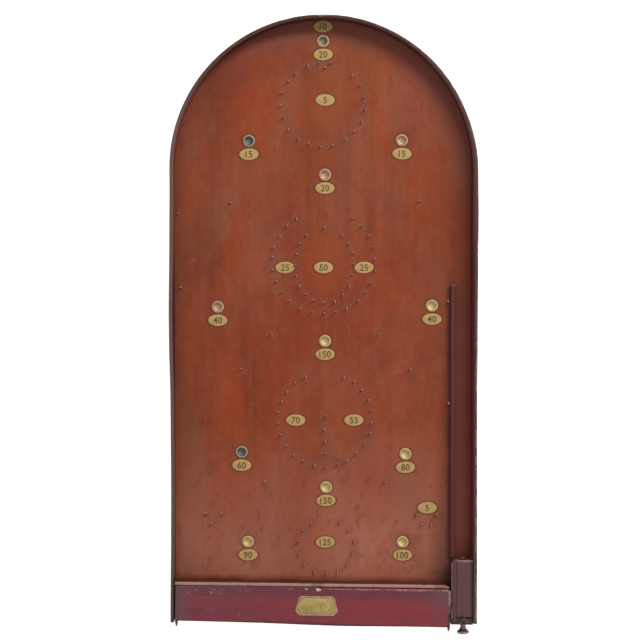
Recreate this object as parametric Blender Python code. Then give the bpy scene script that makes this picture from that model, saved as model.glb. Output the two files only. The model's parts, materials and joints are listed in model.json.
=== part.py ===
"""Bagatelle board: an arched pin-and-cup game board with a sprung plunger and a hinged ball box.

Units are metres, +Z up. The board lies flat: +X runs across it to the shooting lane's side, +Y runs
from the player's end to the arch. Lengths below are written in millimetres and turned into metres by MM.
Places on the playfield are shares of the board's half width and of its length, so the layout spreads
with the board.
"""

import math

import bmesh
import bpy
from mathutils import Vector

MM = 0.001

# Board and rim
BOARD_WIDTH = 381 * MM
BOARD_LENGTH = 755 * MM
RIM_THICKNESS = 4.5 * MM
RIM_HEIGHT = 54 * MM
RIM_LEG_ENDS = (0.4 * MM, -1.66 * MM)
ARCH_SEGMENTS = 40

# Playfield sheet
UNDER_RECESS = 10.5 * MM
PLAYFIELD_THICKNESS = 9.5 * MM

# Clearances
FIT_GAP = 0.3 * MM
RUNNING_GAP = 0.3 * MM

# Cups: pressed brass, flange on the sheet, body in a blind hole
CUP_INNER_RADIUS = 5.3 * MM
CUP_WALL = 0.6 * MM
CUP_FLANGE_RADIUS = 7.6 * MM
CUP_FLANGE_THICKNESS = 0.7 * MM
CUP_DEPTH = 6.2 * MM
CUP_SEGMENTS = 16

# Score tags: thin oval plates
TAG_WIDTH = 24 * MM
TAG_HEIGHT = 14.6 * MM
TAG_THICKNESS = 0.6 * MM
TAG_SEGMENTS = 20
CUP_TO_TAG_GAP = 1.9 * MM
ARCH_TAG_GAP = 0.6 * MM
ARCH_TAG_TO_CUP = 3.3 * MM
RING_TOP_TAG_SHIFT = (2.5 * MM, 5.5 * MM)
HORSESHOE_TAG_SHIFT = (-1.2 * MM, -3.5 * MM)
HORSESHOE_SIDE_TAG_INSET = 1.1 * MM
RING_MIDDLE_TAG_SHIFT = 36.5 * MM
RING_MIDDLE_TAGS_CENTRE = (-0.8 * MM, -1.9 * MM)
RING_BOTTOM_TAG_SHIFT = (-1 * MM, 5 * MM)

# Pins
PIN_RADIUS = 0.9 * MM
PIN_HEIGHT = 9 * MM
PIN_SIDES = 6
TIE_WIDTH = 4.2 * MM
TIE_THICKNESS = 1 * MM
STEM_DROP = 0.2 * MM

# Rings of pins, radii to the pins' centres
RING_TOP_RADIUS = 52.2 * MM
RING_TOP_TO_CUP = 26.675 * MM
HORSESHOE_OUTER_RADIUS = 64.7 * MM
HORSESHOE_INNER_HALF_WIDTH = 36.5 * MM
HORSESHOE_INNER_HALF_LENGTH = 48.1 * MM
RING_MIDDLE_RADIUS = 59 * MM
RING_BOTTOM_RADIUS = 35 * MM
CENTRE_LINE_PITCH = 15.6 * MM
CENTRE_LINE_COUNT = 4
GATE_PIN_SHIFT = (2.5 * MM, -6.5 * MM)

# Shooting lane
LANE_WIDTH = 20 * MM
DIVIDER_WIDTH = 6.4 * MM
DIVIDER_HEIGHT = 8 * MM
DIVIDER_END = 421 * MM

# Plunger housing at the lane's lower end
BOX_WALL_THICKNESS = 5.8 * MM
BOX_HEIGHT = 28 * MM
BOX_END = 77.5 * MM
COVER_THICKNESS = 4 * MM
COVER_NEAR_GAP = 2.4 * MM
WALL_CORNER_RADIUS = 4 * MM
GUIDE_LENGTH = 8 * MM

# Plunger
ROD_RADIUS = 2.5 * MM
ROD_HEIGHT = 7 * MM
ROD_TIP_REACH = 1.5 * MM
COLLAR_RADIUS = 5.4 * MM
COLLAR_LENGTH = 3 * MM
KNOB_LENGTH = 13.5 * MM
KNOB_RADIUS = 7.7 * MM
KNOB_CAP_LENGTH = 4.6 * MM
KNOB_NECK_RADIUS = 3.5 * MM
KNOB_SOCKET = 9 * MM
KNOB_GAP = 0.8 * MM
SPRING_WIRE_RADIUS = 0.6 * MM
SPRING_RADIUS = 4.2 * MM
SPRING_TURNS = 9
SPRING_TURN_POINTS = 10

# Ball box: end rail, lid and inner rail. The lid and its rail sit a little out of square.
BOX_SKEW = math.radians(1.1)
INNER_RAIL_SKEW = math.radians(0.7)
END_RAIL_THICKNESS = 8.8 * MM
END_RAIL_SETBACK = -0.85 * MM
LID_THICKNESS = 5 * MM
LID_DEPTH = 44.7 * MM
LID_OVERHANG = 1.7 * MM
LID_NEAR_TAPER = 1 * MM
LID_CLEARANCE = 0.6 * MM
CHEEK_THICKNESS = 3 * MM
CHEEK_HEIGHT = 28.5 * MM
CHEEK_SIDE_GAP = 1 * MM
PIVOT_RADIUS = 1.5 * MM
PIVOT_DEPTH = 14 * MM
INNER_RAIL_THICKNESS = 3.8 * MM
INNER_RAIL_HEIGHT = 26 * MM
INNER_RAIL_GAP = 1.9 * MM
INNER_RAIL_CHAMFER = 7 * MM
NAME_PLATE_WIDTH = 53 * MM
NAME_PLATE_FAR_WIDTH = 45 * MM
NAME_PLATE_HEIGHT = 24.5 * MM
NAME_PLATE_NEAR_CORNER = (4.8 * MM, 5.3 * MM)
NAME_PLATE_FAR_CORNER = (3.4 * MM, 2.2 * MM)
NAME_PLATE_THICKNESS = 0.8 * MM
NAME_PLATE_SHIFT = (4.9 * MM, 0.6 * MM)

# Folding prop under the arch end
PROP_WIRE_RADIUS = 2.5 * MM
PROP_WIDTH = 220 * MM
PROP_LEG = 70 * MM
PROP_BEND_RADIUS = 8 * MM
PROP_PIVOT_LENGTH = 16 * MM
PROP_ALONG = 0.74
CLIP_WIDTH = 10 * MM
CLIP_LENGTH = 14 * MM
CLIP_WALL = 2 * MM
CLIP_OVERHANG = 1 * MM

# Levels and places worked out from the sizes above
HALF_WIDTH = BOARD_WIDTH / 2
ARCH_Y = BOARD_LENGTH - HALF_WIDTH
RIM_INSIDE = HALF_WIDTH - RIM_THICKNESS
FIELD_BOTTOM = UNDER_RECESS
FIELD_TOP = UNDER_RECESS + PLAYFIELD_THICKNESS
LANE_LEFT = RIM_INSIDE - LANE_WIDTH
ROD_X = RIM_INSIDE - LANE_WIDTH / 2
ROD_Z = FIELD_TOP + ROD_HEIGHT
BOX_TOP = FIELD_TOP + BOX_HEIGHT
WALL_LEFT = LANE_LEFT - BOX_WALL_THICKNESS
LID_LEFT = -RIM_INSIDE + CHEEK_SIDE_GAP
LID_RIGHT = WALL_LEFT - 2 * CHEEK_SIDE_GAP
LID_MIDDLE = (LID_LEFT + LID_RIGHT) / 2
LID_HALF = (LID_RIGHT - LID_LEFT) / 2
PLATE_HALF = LID_HALF - CHEEK_THICKNESS - FIT_GAP
CHEEK_BOTTOM = FIELD_TOP + FIT_GAP
PIVOT_Z = CHEEK_BOTTOM + CHEEK_HEIGHT / 2
END_RAIL_INSIDE = END_RAIL_SETBACK + END_RAIL_THICKNESS
PIVOT_Y = END_RAIL_SETBACK + END_RAIL_THICKNESS / 2
LID_REAR = END_RAIL_SETBACK - LID_OVERHANG
LID_FRONT = LID_REAR + LID_DEPTH
UNDER_LID_RADIUS = CHEEK_HEIGHT / 2 - LID_THICKNESS - LID_CLEARANCE
END_RAIL_TOP = PIVOT_Z + math.sqrt(UNDER_LID_RADIUS**2 - (END_RAIL_THICKNESS / 2) ** 2)


def box_line(local_y, x):
    """Board Y at X of a line that runs across the skewed ball box at its own local Y."""
    return local_y / math.cos(BOX_SKEW) - (x - LID_MIDDLE) * math.tan(BOX_SKEW)


KNOB_FRONT = box_line(END_RAIL_SETBACK, ROD_X + KNOB_RADIUS) - KNOB_GAP
KNOB_END = KNOB_FRONT - KNOB_LENGTH
COVER_START = box_line(END_RAIL_INSIDE, LANE_LEFT) + COVER_NEAR_GAP
GUIDE_START = BOX_END - FIT_GAP - GUIDE_LENGTH
COLLAR_START = GUIDE_START - FIT_GAP - COLLAR_LENGTH
SPRING_START = box_line(END_RAIL_INSIDE, ROD_X - SPRING_RADIUS) + FIT_GAP
SPRING_END = COLLAR_START - FIT_GAP
MIDDLE_Y = (BOARD_LENGTH + KNOB_END) / 2
TIE_TOP = FIELD_BOTTOM - FIT_GAP
CUP_TO_TAG = CUP_FLANGE_RADIUS + TAG_HEIGHT / 2 + CUP_TO_TAG_GAP

# Cups by name with their places, apart from the one below the arch
CUPS = (
    ("15_left", -0.487, 0.795),
    ("15_right", 0.517, 0.796),
    ("20_centre", 0.012, 0.739),
    ("40_left", -0.693, 0.520),
    ("40_right", 0.716, 0.522),
    ("150_upper", 0.013, 0.4635),
    ("60", -0.537, 0.2785),
    ("80", 0.543, 0.275),
    ("150_lower", 0.019, 0.2195),
    ("90", -0.4965, 0.1285),
    ("100", 0.5245, 0.128),
)

# Single pins and the two small pockets near the bottom, in the order their ties run
FIELD_PINS_LEFT = (
    (-0.606, 0.693),
    (-0.952, 0.676),
    (-0.930, 0.552),
    (-0.340, 0.476),
    (-0.539, 0.417),
    (-0.376, 0.231),
    (-0.668, 0.173),
    (-0.728, 0.161),
    (-0.770, 0.173),
)
FIELD_PINS_RIGHT = (
    (0.635, 0.695),
    (0.365, 0.476),
    (0.575, 0.417),
    (0.408, 0.229),
    (0.617, 0.174),
    (0.656, 0.159),
    (0.716, 0.159),
    (0.747, 0.174),
)

# Ring centres on the playfield
HORSESHOE_OUTER = (0.009, 0.596)
HORSESHOE_INNER = (0.009, 0.590)
RING_MIDDLE = (0.015, 0.334)
RING_BOTTOM = (0.019, 0.121)
POCKET_TAG = (0.687, 0.185)


def spot(across, along):
    """Point on the board from its shares of the half width and of the length."""
    return Vector((across * HALF_WIDTH, along * BOARD_LENGTH))


def arch_places():
    """Tag, cup and ring centre below the arch, each hung from the one above it."""
    tag = BOARD_LENGTH - RIM_THICKNESS - ARCH_TAG_GAP - TAG_HEIGHT / 2
    cup = tag - TAG_HEIGHT / 2 - ARCH_TAG_TO_CUP - CUP_FLANGE_RADIUS
    ring = cup - RING_TOP_TO_CUP - RING_TOP_RADIUS
    return {"tag": Vector((0, tag)), "cup": Vector((0, cup)), "ring": Vector((0, ring))}


def clear_scene():
    for old in list(bpy.data.objects):
        bpy.data.objects.remove(old, do_unlink=True)


def make_material(name, colour, roughness, metallic=0.0):
    made = bpy.data.materials.new(name)
    made.use_nodes = True
    shader = made.node_tree.nodes["Principled BSDF"]
    shader.inputs["Base Color"].default_value = (*colour, 1.0)
    shader.inputs["Roughness"].default_value = roughness
    shader.inputs["Metallic"].default_value = metallic
    return made


def make_empty(name, location, parent=None, turn_z=0.0):
    made = bpy.data.objects.new(name, None)
    made.location = location
    made.rotation_euler = (0, 0, turn_z)
    made.parent = parent
    bpy.context.collection.objects.link(made)
    return made


def add_object(name, data, parent, finish=None, location=(0, 0, 0)):
    made = bpy.data.objects.new(name, data)
    made.location = location
    made.parent = parent
    if finish is not None:
        data.materials.append(finish)
    bpy.context.collection.objects.link(made)
    return made


def mesh_from(shape, name):
    bmesh.ops.recalc_face_normals(shape, faces=shape.faces)
    data = bpy.data.meshes.new(name)
    shape.to_mesh(data)
    shape.free()
    return data


def add_prism(shape, outline, low, high):
    """Upright prism on a flat outline, added to a bmesh."""
    corners = [shape.verts.new((x, y, low)) for x, y in outline]
    base = shape.faces.new(corners)
    lifted = bmesh.ops.extrude_face_region(shape, geom=[base])
    tops = [item for item in lifted["geom"] if isinstance(item, bmesh.types.BMVert)]
    bmesh.ops.translate(shape, verts=tops, vec=(0, 0, high - low))


def prism_mesh(name, outline, low, high):
    shape = bmesh.new()
    add_prism(shape, outline, low, high)
    return mesh_from(shape, name)


def side_prism_mesh(name, outline, left, right):
    """Prism along X on an outline of (y, z) points."""
    shape = bmesh.new()
    corners = [shape.verts.new((left, y, z)) for y, z in outline]
    base = shape.faces.new(corners)
    lifted = bmesh.ops.extrude_face_region(shape, geom=[base])
    ends = [item for item in lifted["geom"] if isinstance(item, bmesh.types.BMVert)]
    bmesh.ops.translate(shape, verts=ends, vec=(right - left, 0, 0))
    return mesh_from(shape, name)


def front_prism_mesh(name, outline, near, far):
    """Prism along Y on an outline of (x, z) points."""
    shape = bmesh.new()
    corners = [shape.verts.new((x, near, z)) for x, z in outline]
    base = shape.faces.new(corners)
    lifted = bmesh.ops.extrude_face_region(shape, geom=[base])
    ends = [item for item in lifted["geom"] if isinstance(item, bmesh.types.BMVert)]
    bmesh.ops.translate(shape, verts=ends, vec=(0, far - near, 0))
    return mesh_from(shape, name)


def rectangle(left, right, near, far):
    return [(left, near), (right, near), (right, far), (left, far)]


def arc(centre, radius, start, end, steps, radius_y=None):
    """Points on a circle or an upright ellipse, angles in radians."""
    tall = radius if radius_y is None else radius_y
    points = []
    for step in range(steps + 1):
        angle = start + (end - start) * step / steps
        points.append((centre[0] + radius * math.cos(angle), centre[1] + tall * math.sin(angle)))
    return points


def turned_mesh(name, profile, segments, axis="Z"):
    """Solid of revolution from (radius, height) points that start and end on the axis."""
    shape = bmesh.new()
    rings = []
    for radius, height in profile:
        count = 1 if radius == 0 else segments
        ring = []
        for step in range(count):
            angle = 2 * math.pi * step / segments
            across, up = radius * math.cos(angle), radius * math.sin(angle)
            place = (across, up, height) if axis == "Z" else (across, height, up)
            ring.append(shape.verts.new(place))
        rings.append(ring)
    for lower, upper in zip(rings, rings[1:]):
        for step in range(segments):
            following = (step + 1) % segments
            corners = [lower[step % len(lower)], lower[following % len(lower)]]
            corners += [upper[following % len(upper)], upper[step % len(upper)]]
            distinct = list(dict.fromkeys(corners))
            shape.faces.new(distinct)
    return mesh_from(shape, name)


def smooth(made, angle_deg=35):
    made.data.shade_smooth()
    made.data.set_sharp_from_angle(angle=math.radians(angle_deg))


def combine(target, tool, operation):
    """Keep a hidden tool object and cut it from the target, or join it to the target."""
    tool.hide_render = True
    tool.display_type = "WIRE"
    step = target.modifiers.new(operation.lower(), "BOOLEAN")
    step.operation = operation
    step.solver = "EXACT"
    step.object = tool


def u_outline(half, end_left, end_right):
    """Outline of the arched sheet: its lower corners, then the arch from right to left."""
    points = [(-half, end_left), (half, end_right)]
    points += arc((0, ARCH_Y), half, 0, math.pi, ARCH_SEGMENTS)
    return points


def evenly_spaced(points, count):
    """Places at equal steps along a line of points, both ends included."""
    lengths = [0.0]
    for start, end in zip(points, points[1:]):
        lengths.append(lengths[-1] + math.dist(start, end))
    places = []
    for index in range(count):
        target = lengths[-1] * index / (count - 1)
        at = max(i for i in range(len(points) - 1) if lengths[i] <= target + 1e-12)
        share = (target - lengths[at]) / (lengths[at + 1] - lengths[at])
        places.append(Vector(points[at]).lerp(Vector(points[at + 1]), share))
    return places


def pin_arc(centre, radius, start_deg, end_deg, count, radius_y=None):
    fine = arc(centre, radius, math.radians(start_deg), math.radians(end_deg), 360, radius_y)
    return evenly_spaced(fine, count)


def ribbon(places, width):
    """Outline of a strip that runs through the places, with mitred corners and short overhangs."""
    left, right = [], []
    last = len(places) - 1
    for index, place in enumerate(places):
        ahead = (places[min(index + 1, last)] - place).normalized() if index < last else None
        behind = (place - places[index - 1]).normalized() if index > 0 else None
        leading = ahead or behind
        trailing = behind or ahead
        mean = (leading + trailing).normalized()
        normal = Vector((-mean.y, mean.x))
        reach = width / 2 / max(mean.dot(leading), 0.4)
        overhang = mean * (width / 2) * ((index == last) - (index == 0))
        left.append(place + overhang + normal * reach)
        right.append(place + overhang - normal * reach)
    return [tuple(point) for point in left + right[::-1]]


def pin_outline(place, radius):
    steps = range(PIN_SIDES)
    turns = [2 * math.pi * step / PIN_SIDES for step in steps]
    return [(place.x + radius * math.cos(turn), place.y + radius * math.sin(turn)) for turn in turns]


def pin_groups():
    """Every group of pins: its name and the places of its pins, in the order of its tie."""
    middle_centre = spot(*RING_MIDDLE)
    ring_middle = pin_arc(middle_centre, RING_MIDDLE_RADIUS, 67, -245, 23)
    inner = pin_arc(
        spot(*HORSESHOE_INNER), HORSESHOE_INNER_HALF_WIDTH, 52, -232, 17, HORSESHOE_INNER_HALF_LENGTH
    )
    return {
        "pin_ring_top": pin_arc(arch_places()["ring"], RING_TOP_RADIUS, 45, -282, 20),
        "pin_horseshoe_outer": pin_arc(spot(*HORSESHOE_OUTER), HORSESHOE_OUTER_RADIUS, 56, -237, 23),
        "pin_horseshoe_inner": inner,
        "pin_ring_middle": ring_middle,
        "pin_ring_bottom": pin_arc(spot(*RING_BOTTOM), RING_BOTTOM_RADIUS, 60, -240, 13),
        "pins_field_left": [spot(*place) for place in FIELD_PINS_LEFT],
        "pins_field_right": [spot(*place) for place in FIELD_PINS_RIGHT],
    }


def branch_pins():
    """Pins that stand off a ring's own line, with the place on the ring that their tie starts from."""
    ring_foot = spot(*RING_MIDDLE) - Vector((0, RING_MIDDLE_RADIUS))
    ring_head = arch_places()["ring"] + Vector((0, RING_TOP_RADIUS))
    inner_side = spot(*HORSESHOE_INNER)
    steps = range(1, CENTRE_LINE_COUNT + 1)
    line = [ring_foot + Vector((0, CENTRE_LINE_PITCH * step)) for step in steps]
    return {
        "pin_ring_middle": (ring_foot, line),
        "pin_ring_top": (ring_head, [ring_head + Vector(GATE_PIN_SHIFT)]),
        "pin_horseshoe_inner": (
            inner_side - Vector((0, HORSESHOE_INNER_HALF_LENGTH)),
            [inner_side + Vector((0, HORSESHOE_INNER_HALF_LENGTH))],
        ),
    }


def make_pins(board, brass):
    """Pin groups, each one body: the pins of a ring stand on a thin tie under the sheet."""
    branches = branch_pins()
    all_places = []
    for name, places in pin_groups().items():
        start, extra = branches.get(name, (None, []))
        tie = add_object(
            name,
            prism_mesh(name, ribbon(places, TIE_WIDTH), TIE_TOP - TIE_THICKNESS, TIE_TOP),
            board,
            brass,
        )
        if extra:
            stem = ribbon([start] + extra, TIE_WIDTH)
            high = TIE_TOP - STEM_DROP
            low = high - TIE_THICKNESS
            tool = add_object(name + "_stem_tool", prism_mesh(name + "_stem", stem, low, high), board)
            combine(tie, tool, "UNION")
        shape = bmesh.new()
        foot = TIE_TOP - TIE_THICKNESS / 2
        for place in places + extra:
            add_prism(shape, pin_outline(place, PIN_RADIUS), foot, FIELD_TOP + PIN_HEIGHT)
        pins = add_object(name + "_pins_tool", mesh_from(shape, name + "_pins"), board)
        combine(tie, pins, "UNION")
        all_places += places + extra
    return all_places


def make_playfield(board, wood, pin_places, cup_places):
    """Arched ply sheet with pin holes right through and blind holes for the cups."""
    half = RIM_INSIDE - FIT_GAP
    near_left = box_line(END_RAIL_INSIDE, -half) + FIT_GAP
    near_right = box_line(END_RAIL_INSIDE, half) + FIT_GAP
    sheet = prism_mesh("playfield", u_outline(half, near_left, near_right), FIELD_BOTTOM, FIELD_TOP)
    playfield = add_object("playfield", sheet, board, wood)
    holes = bmesh.new()
    for place in pin_places:
        outline = pin_outline(place, PIN_RADIUS + FIT_GAP)
        add_prism(holes, outline, FIELD_BOTTOM - TIE_THICKNESS, FIELD_TOP + TIE_THICKNESS)
    hole_radius = CUP_INNER_RADIUS + CUP_WALL + FIT_GAP
    hole_floor = FIELD_TOP - CUP_DEPTH - FIT_GAP
    for place in cup_places:
        outline = arc(place, hole_radius, 0, 2 * math.pi, CUP_SEGMENTS)[:-1]
        add_prism(holes, outline, hole_floor, FIELD_TOP + TIE_THICKNESS)
    tool = add_object("playfield_holes_tool", mesh_from(holes, "playfield_holes"), board)
    combine(playfield, tool, "DIFFERENCE")


def make_rim(board, wood):
    """Bent strip round both sides and the arch, with one leg a little longer than the other."""
    left_end, right_end = RIM_LEG_ENDS
    outlines = []
    for half in (HALF_WIDTH, RIM_INSIDE):
        bend = arc((0, ARCH_Y), half, 0, math.pi, ARCH_SEGMENTS)
        outlines.append([(half, right_end)] + bend + [(-half, left_end)])
    outer, inner = outlines
    add_object("rim_band", prism_mesh("rim_band", outer + inner[::-1], 0, RIM_HEIGHT), board, wood)


def cup_places():
    """Every cup: the one below the arch first, and the rest at their own spots."""
    places = {"20_top": arch_places()["cup"]}
    for label, across, along in CUPS:
        places[label] = spot(across, along)
    return places


def make_cups(board, brass):
    """Pressed cups: a flange on the sheet, a body in its hole and a flat floor."""
    outer = CUP_INNER_RADIUS + CUP_WALL
    top = FIT_GAP + CUP_FLANGE_THICKNESS
    profile = (
        (0, -CUP_DEPTH),
        (outer, -CUP_DEPTH),
        (outer, FIT_GAP),
        (CUP_FLANGE_RADIUS, FIT_GAP),
        (CUP_FLANGE_RADIUS - CUP_FLANGE_THICKNESS, top),
        (CUP_INNER_RADIUS, top),
        (CUP_INNER_RADIUS, CUP_WALL - CUP_DEPTH),
        (0, CUP_WALL - CUP_DEPTH),
    )
    places = cup_places()
    for label, place in places.items():
        data = turned_mesh("cup_" + label, profile, CUP_SEGMENTS)
        cup = add_object("cup_" + label, data, board, brass, (place.x, place.y, FIELD_TOP))
        smooth(cup)
    return list(places.values())


def tag_places():
    """Every score tag: one below each cup, one at the arch, and one in each pocket of pins."""
    places = {}
    for label, place in cup_places().items():
        places["tag_" + label] = place - Vector((0, CUP_TO_TAG))
    horseshoe = spot(*HORSESHOE_INNER)
    band = (HORSESHOE_INNER_HALF_WIDTH + HORSESHOE_OUTER_RADIUS) / 2 - HORSESHOE_SIDE_TAG_INSET
    middle = spot(*RING_MIDDLE) + Vector(RING_MIDDLE_TAGS_CENTRE)
    half_ring = Vector((RING_MIDDLE_TAG_SHIFT, 0))
    places["tag_10"] = arch_places()["tag"]
    places["tag_5_ring"] = arch_places()["ring"] + Vector(RING_TOP_TAG_SHIFT)
    centre_shift, drop = HORSESHOE_TAG_SHIFT
    places["tag_50"] = horseshoe + Vector((centre_shift, drop))
    places["tag_25_left"] = horseshoe + Vector((-band, drop))
    places["tag_25_right"] = horseshoe + Vector((band, drop))
    places["tag_70"] = middle - half_ring
    places["tag_55"] = middle + half_ring
    places["tag_125"] = spot(*RING_BOTTOM) + Vector(RING_BOTTOM_TAG_SHIFT)
    places["tag_5_pocket"] = spot(*POCKET_TAG)
    return places


def make_tags(board, gilt):
    low = FIELD_TOP + FIT_GAP
    oval = arc((0, 0), TAG_WIDTH / 2, 0, 2 * math.pi, TAG_SEGMENTS, TAG_HEIGHT / 2)[:-1]
    for name, place in tag_places().items():
        data = prism_mesh(name, oval, low, low + TAG_THICKNESS)
        add_object(name, data, board, gilt, (place.x, place.y, 0))


def make_lane(board, dark_wood, cover_wood):
    """Lane divider and the plunger's housing at the lane's lower end."""
    low = FIELD_TOP + FIT_GAP
    divider = rectangle(LANE_LEFT - DIVIDER_WIDTH, LANE_LEFT, BOX_END, DIVIDER_END)
    data = prism_mesh("lane_divider", divider, low, FIELD_TOP + DIVIDER_HEIGHT)
    add_object("lane_divider", data, board, dark_wood)

    wall_near = box_line(END_RAIL_INSIDE, WALL_LEFT) + FIT_GAP
    wall_far = BOX_END - FIT_GAP
    corner = (WALL_LEFT + WALL_CORNER_RADIUS, wall_far - WALL_CORNER_RADIUS)
    wall = [(WALL_LEFT, wall_near), (LANE_LEFT, wall_near), (LANE_LEFT, wall_far)]
    wall += arc(corner, WALL_CORNER_RADIUS, math.pi / 2, math.pi, 6)
    data = prism_mesh("plunger_box_wall", wall, low, BOX_TOP)
    add_object("plunger_box_wall", data, board, dark_wood)

    left = LANE_LEFT + FIT_GAP
    right = RIM_INSIDE - FIT_GAP
    cover_low = BOX_TOP - COVER_THICKNESS
    cover = rectangle(left, right, COVER_START, BOX_END)
    data = prism_mesh("plunger_cover", cover, cover_low, BOX_TOP)
    add_object("plunger_cover", data, board, cover_wood)

    block = rectangle(left, right, GUIDE_START, GUIDE_START + GUIDE_LENGTH)
    data = prism_mesh("plunger_guide", block, low, cover_low - FIT_GAP)
    guide = add_object("plunger_guide", data, board, dark_wood)
    return guide


def bore_tool(name, parent, radius, near, far):
    """Hidden round cutter along the plunger's axis."""
    profile = ((0, near), (radius, near), (radius, far), (0, far))
    return add_object(name, turned_mesh(name, profile, 16, "Y"), parent)


def make_end_rail(board, box, red_wood, guide):
    """Rail across the lower end: notched at both ends of the lid, bored for the plunger's rod."""
    left = -RIM_INSIDE + 2 * FIT_GAP - LID_MIDDLE
    right = RIM_INSIDE - 2 * FIT_GAP - LID_MIDDLE
    arm = LID_HALF - CHEEK_THICKNESS - 2 * FIT_GAP
    slot_far = WALL_LEFT - LID_MIDDLE - CHEEK_SIDE_GAP
    outline = [
        (left, 0),
        (right, 0),
        (right, BOX_TOP),
        (slot_far, BOX_TOP),
        (slot_far, FIELD_TOP),
        (arm, FIELD_TOP),
        (arm, END_RAIL_TOP),
        (-arm, END_RAIL_TOP),
        (-arm, FIELD_TOP),
        (left, FIELD_TOP),
    ]
    data = front_prism_mesh("end_rail", outline, END_RAIL_SETBACK, END_RAIL_INSIDE)
    rail = add_object("end_rail", data, box, red_wood)
    axis = make_empty("plunger_axis", (ROD_X, 0, ROD_Z), board)
    reach = 2 * END_RAIL_THICKNESS
    middle = box_line(PIVOT_Y, ROD_X)
    bore = bore_tool("end_rail_bore_tool", axis, ROD_RADIUS + RUNNING_GAP, middle - reach, middle + reach)
    combine(rail, bore, "DIFFERENCE")
    guide_bore = bore_tool(
        "guide_bore_tool", axis, ROD_RADIUS + RUNNING_GAP, GUIDE_START - reach, GUIDE_START + reach
    )
    combine(guide, guide_bore, "DIFFERENCE")
    return rail, axis


def make_inner_rail(board, rail_wood):
    """Thin rail between the playfield and the ball box, chamfered at the lane's end."""
    place = (LID_MIDDLE, LID_FRONT + INNER_RAIL_GAP, 0)
    holder = make_empty("inner_rail_place", place, board, -INNER_RAIL_SKEW)
    left = -RIM_INSIDE + 2 * FIT_GAP - LID_MIDDLE
    right = WALL_LEFT - 2 * CHEEK_SIDE_GAP - LID_MIDDLE
    outline = [
        (left, 0),
        (right, 0),
        (right, INNER_RAIL_THICKNESS / 3),
        (right - INNER_RAIL_CHAMFER, INNER_RAIL_THICKNESS),
        (left, INNER_RAIL_THICKNESS),
    ]
    data = prism_mesh("inner_rail", outline, FIELD_TOP + FIT_GAP, FIELD_TOP + INNER_RAIL_HEIGHT)
    add_object("inner_rail", data, holder, rail_wood)


def make_lid(box, end_rail, red_wood, worn_wood, brass, steel):
    """Ball-box lid: a panel between two round-ended cheeks that turn on pins in the end rail."""
    pivot = make_empty("lid_pivot_axis", (0, PIVOT_Y, PIVOT_Z), box)
    rear = LID_REAR - PIVOT_Y
    front = LID_FRONT - PIVOT_Y
    top = CHEEK_HEIGHT / 2
    panel = [
        (-PLATE_HALF, rear + LID_NEAR_TAPER),
        (PLATE_HALF, rear - LID_NEAR_TAPER),
        (PLATE_HALF, front),
        (-PLATE_HALF, front),
    ]
    data = prism_mesh("ball_box_lid", panel, top - LID_THICKNESS, top)
    add_object("ball_box_lid", data, pivot, red_wood)

    side = [(front, top), (front, 0), (front - top, -top)]
    side += arc((0, 0), top, -math.pi / 2, -3 * math.pi / 2, 14)
    hole_radius = PIVOT_RADIUS + RUNNING_GAP
    for label, sign in (("left", -1), ("right", 1)):
        outside = sign * LID_HALF
        inside = sign * (LID_HALF - CHEEK_THICKNESS)
        data = side_prism_mesh("lid_cheek_" + label, side, inside, outside)
        cheek = add_object("lid_cheek_" + label, data, pivot, worn_wood)
        hole = pivot_pin("lid_cheek_hole_tool_" + label, pivot, hole_radius, sign, CHEEK_THICKNESS)
        combine(cheek, hole, "DIFFERENCE")
        socket = pivot_pin("end_rail_socket_tool_" + label, pivot, PIVOT_RADIUS + FIT_GAP, sign, FIT_GAP)
        combine(end_rail, socket, "DIFFERENCE")
        pin = pivot_pin("lid_pivot_" + label, pivot, PIVOT_RADIUS, sign, 0)
        pin.data.materials.append(steel)

    low = top + FIT_GAP
    data = prism_mesh("name_plate", plate_outline(), low, low + NAME_PLATE_THICKNESS)
    across, along = NAME_PLATE_SHIFT
    add_object("name_plate", data, pivot, brass, (across, (rear + front) / 2 + along, 0))


def plate_outline():
    """Plate that is wider towards the player, with four clipped corners."""
    half_near = NAME_PLATE_WIDTH / 2
    half_far = NAME_PLATE_FAR_WIDTH / 2
    half_height = NAME_PLATE_HEIGHT / 2
    near_x, near_y = NAME_PLATE_NEAR_CORNER
    far_x, far_y = NAME_PLATE_FAR_CORNER
    right_side = [
        (half_near - near_x, -half_height),
        (half_near, near_y - half_height),
        (half_far, half_height - far_y),
        (half_far - far_x, half_height),
    ]
    return right_side + [(-x, y) for x, y in right_side[::-1]]


def pivot_pin(name, pivot, radius, sign, extra):
    """Round bar along X from the cheek's outer face into the end rail, longer by extra at both ends."""
    outer = LID_HALF + extra
    inner = LID_HALF - PIVOT_DEPTH - extra
    profile = ((0, -outer), (radius, -outer), (radius, -inner), (0, -inner))
    made = add_object(name, turned_mesh(name, profile, 12), pivot)
    made.rotation_euler = (0, math.radians(-90 * sign), 0)
    return made


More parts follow.
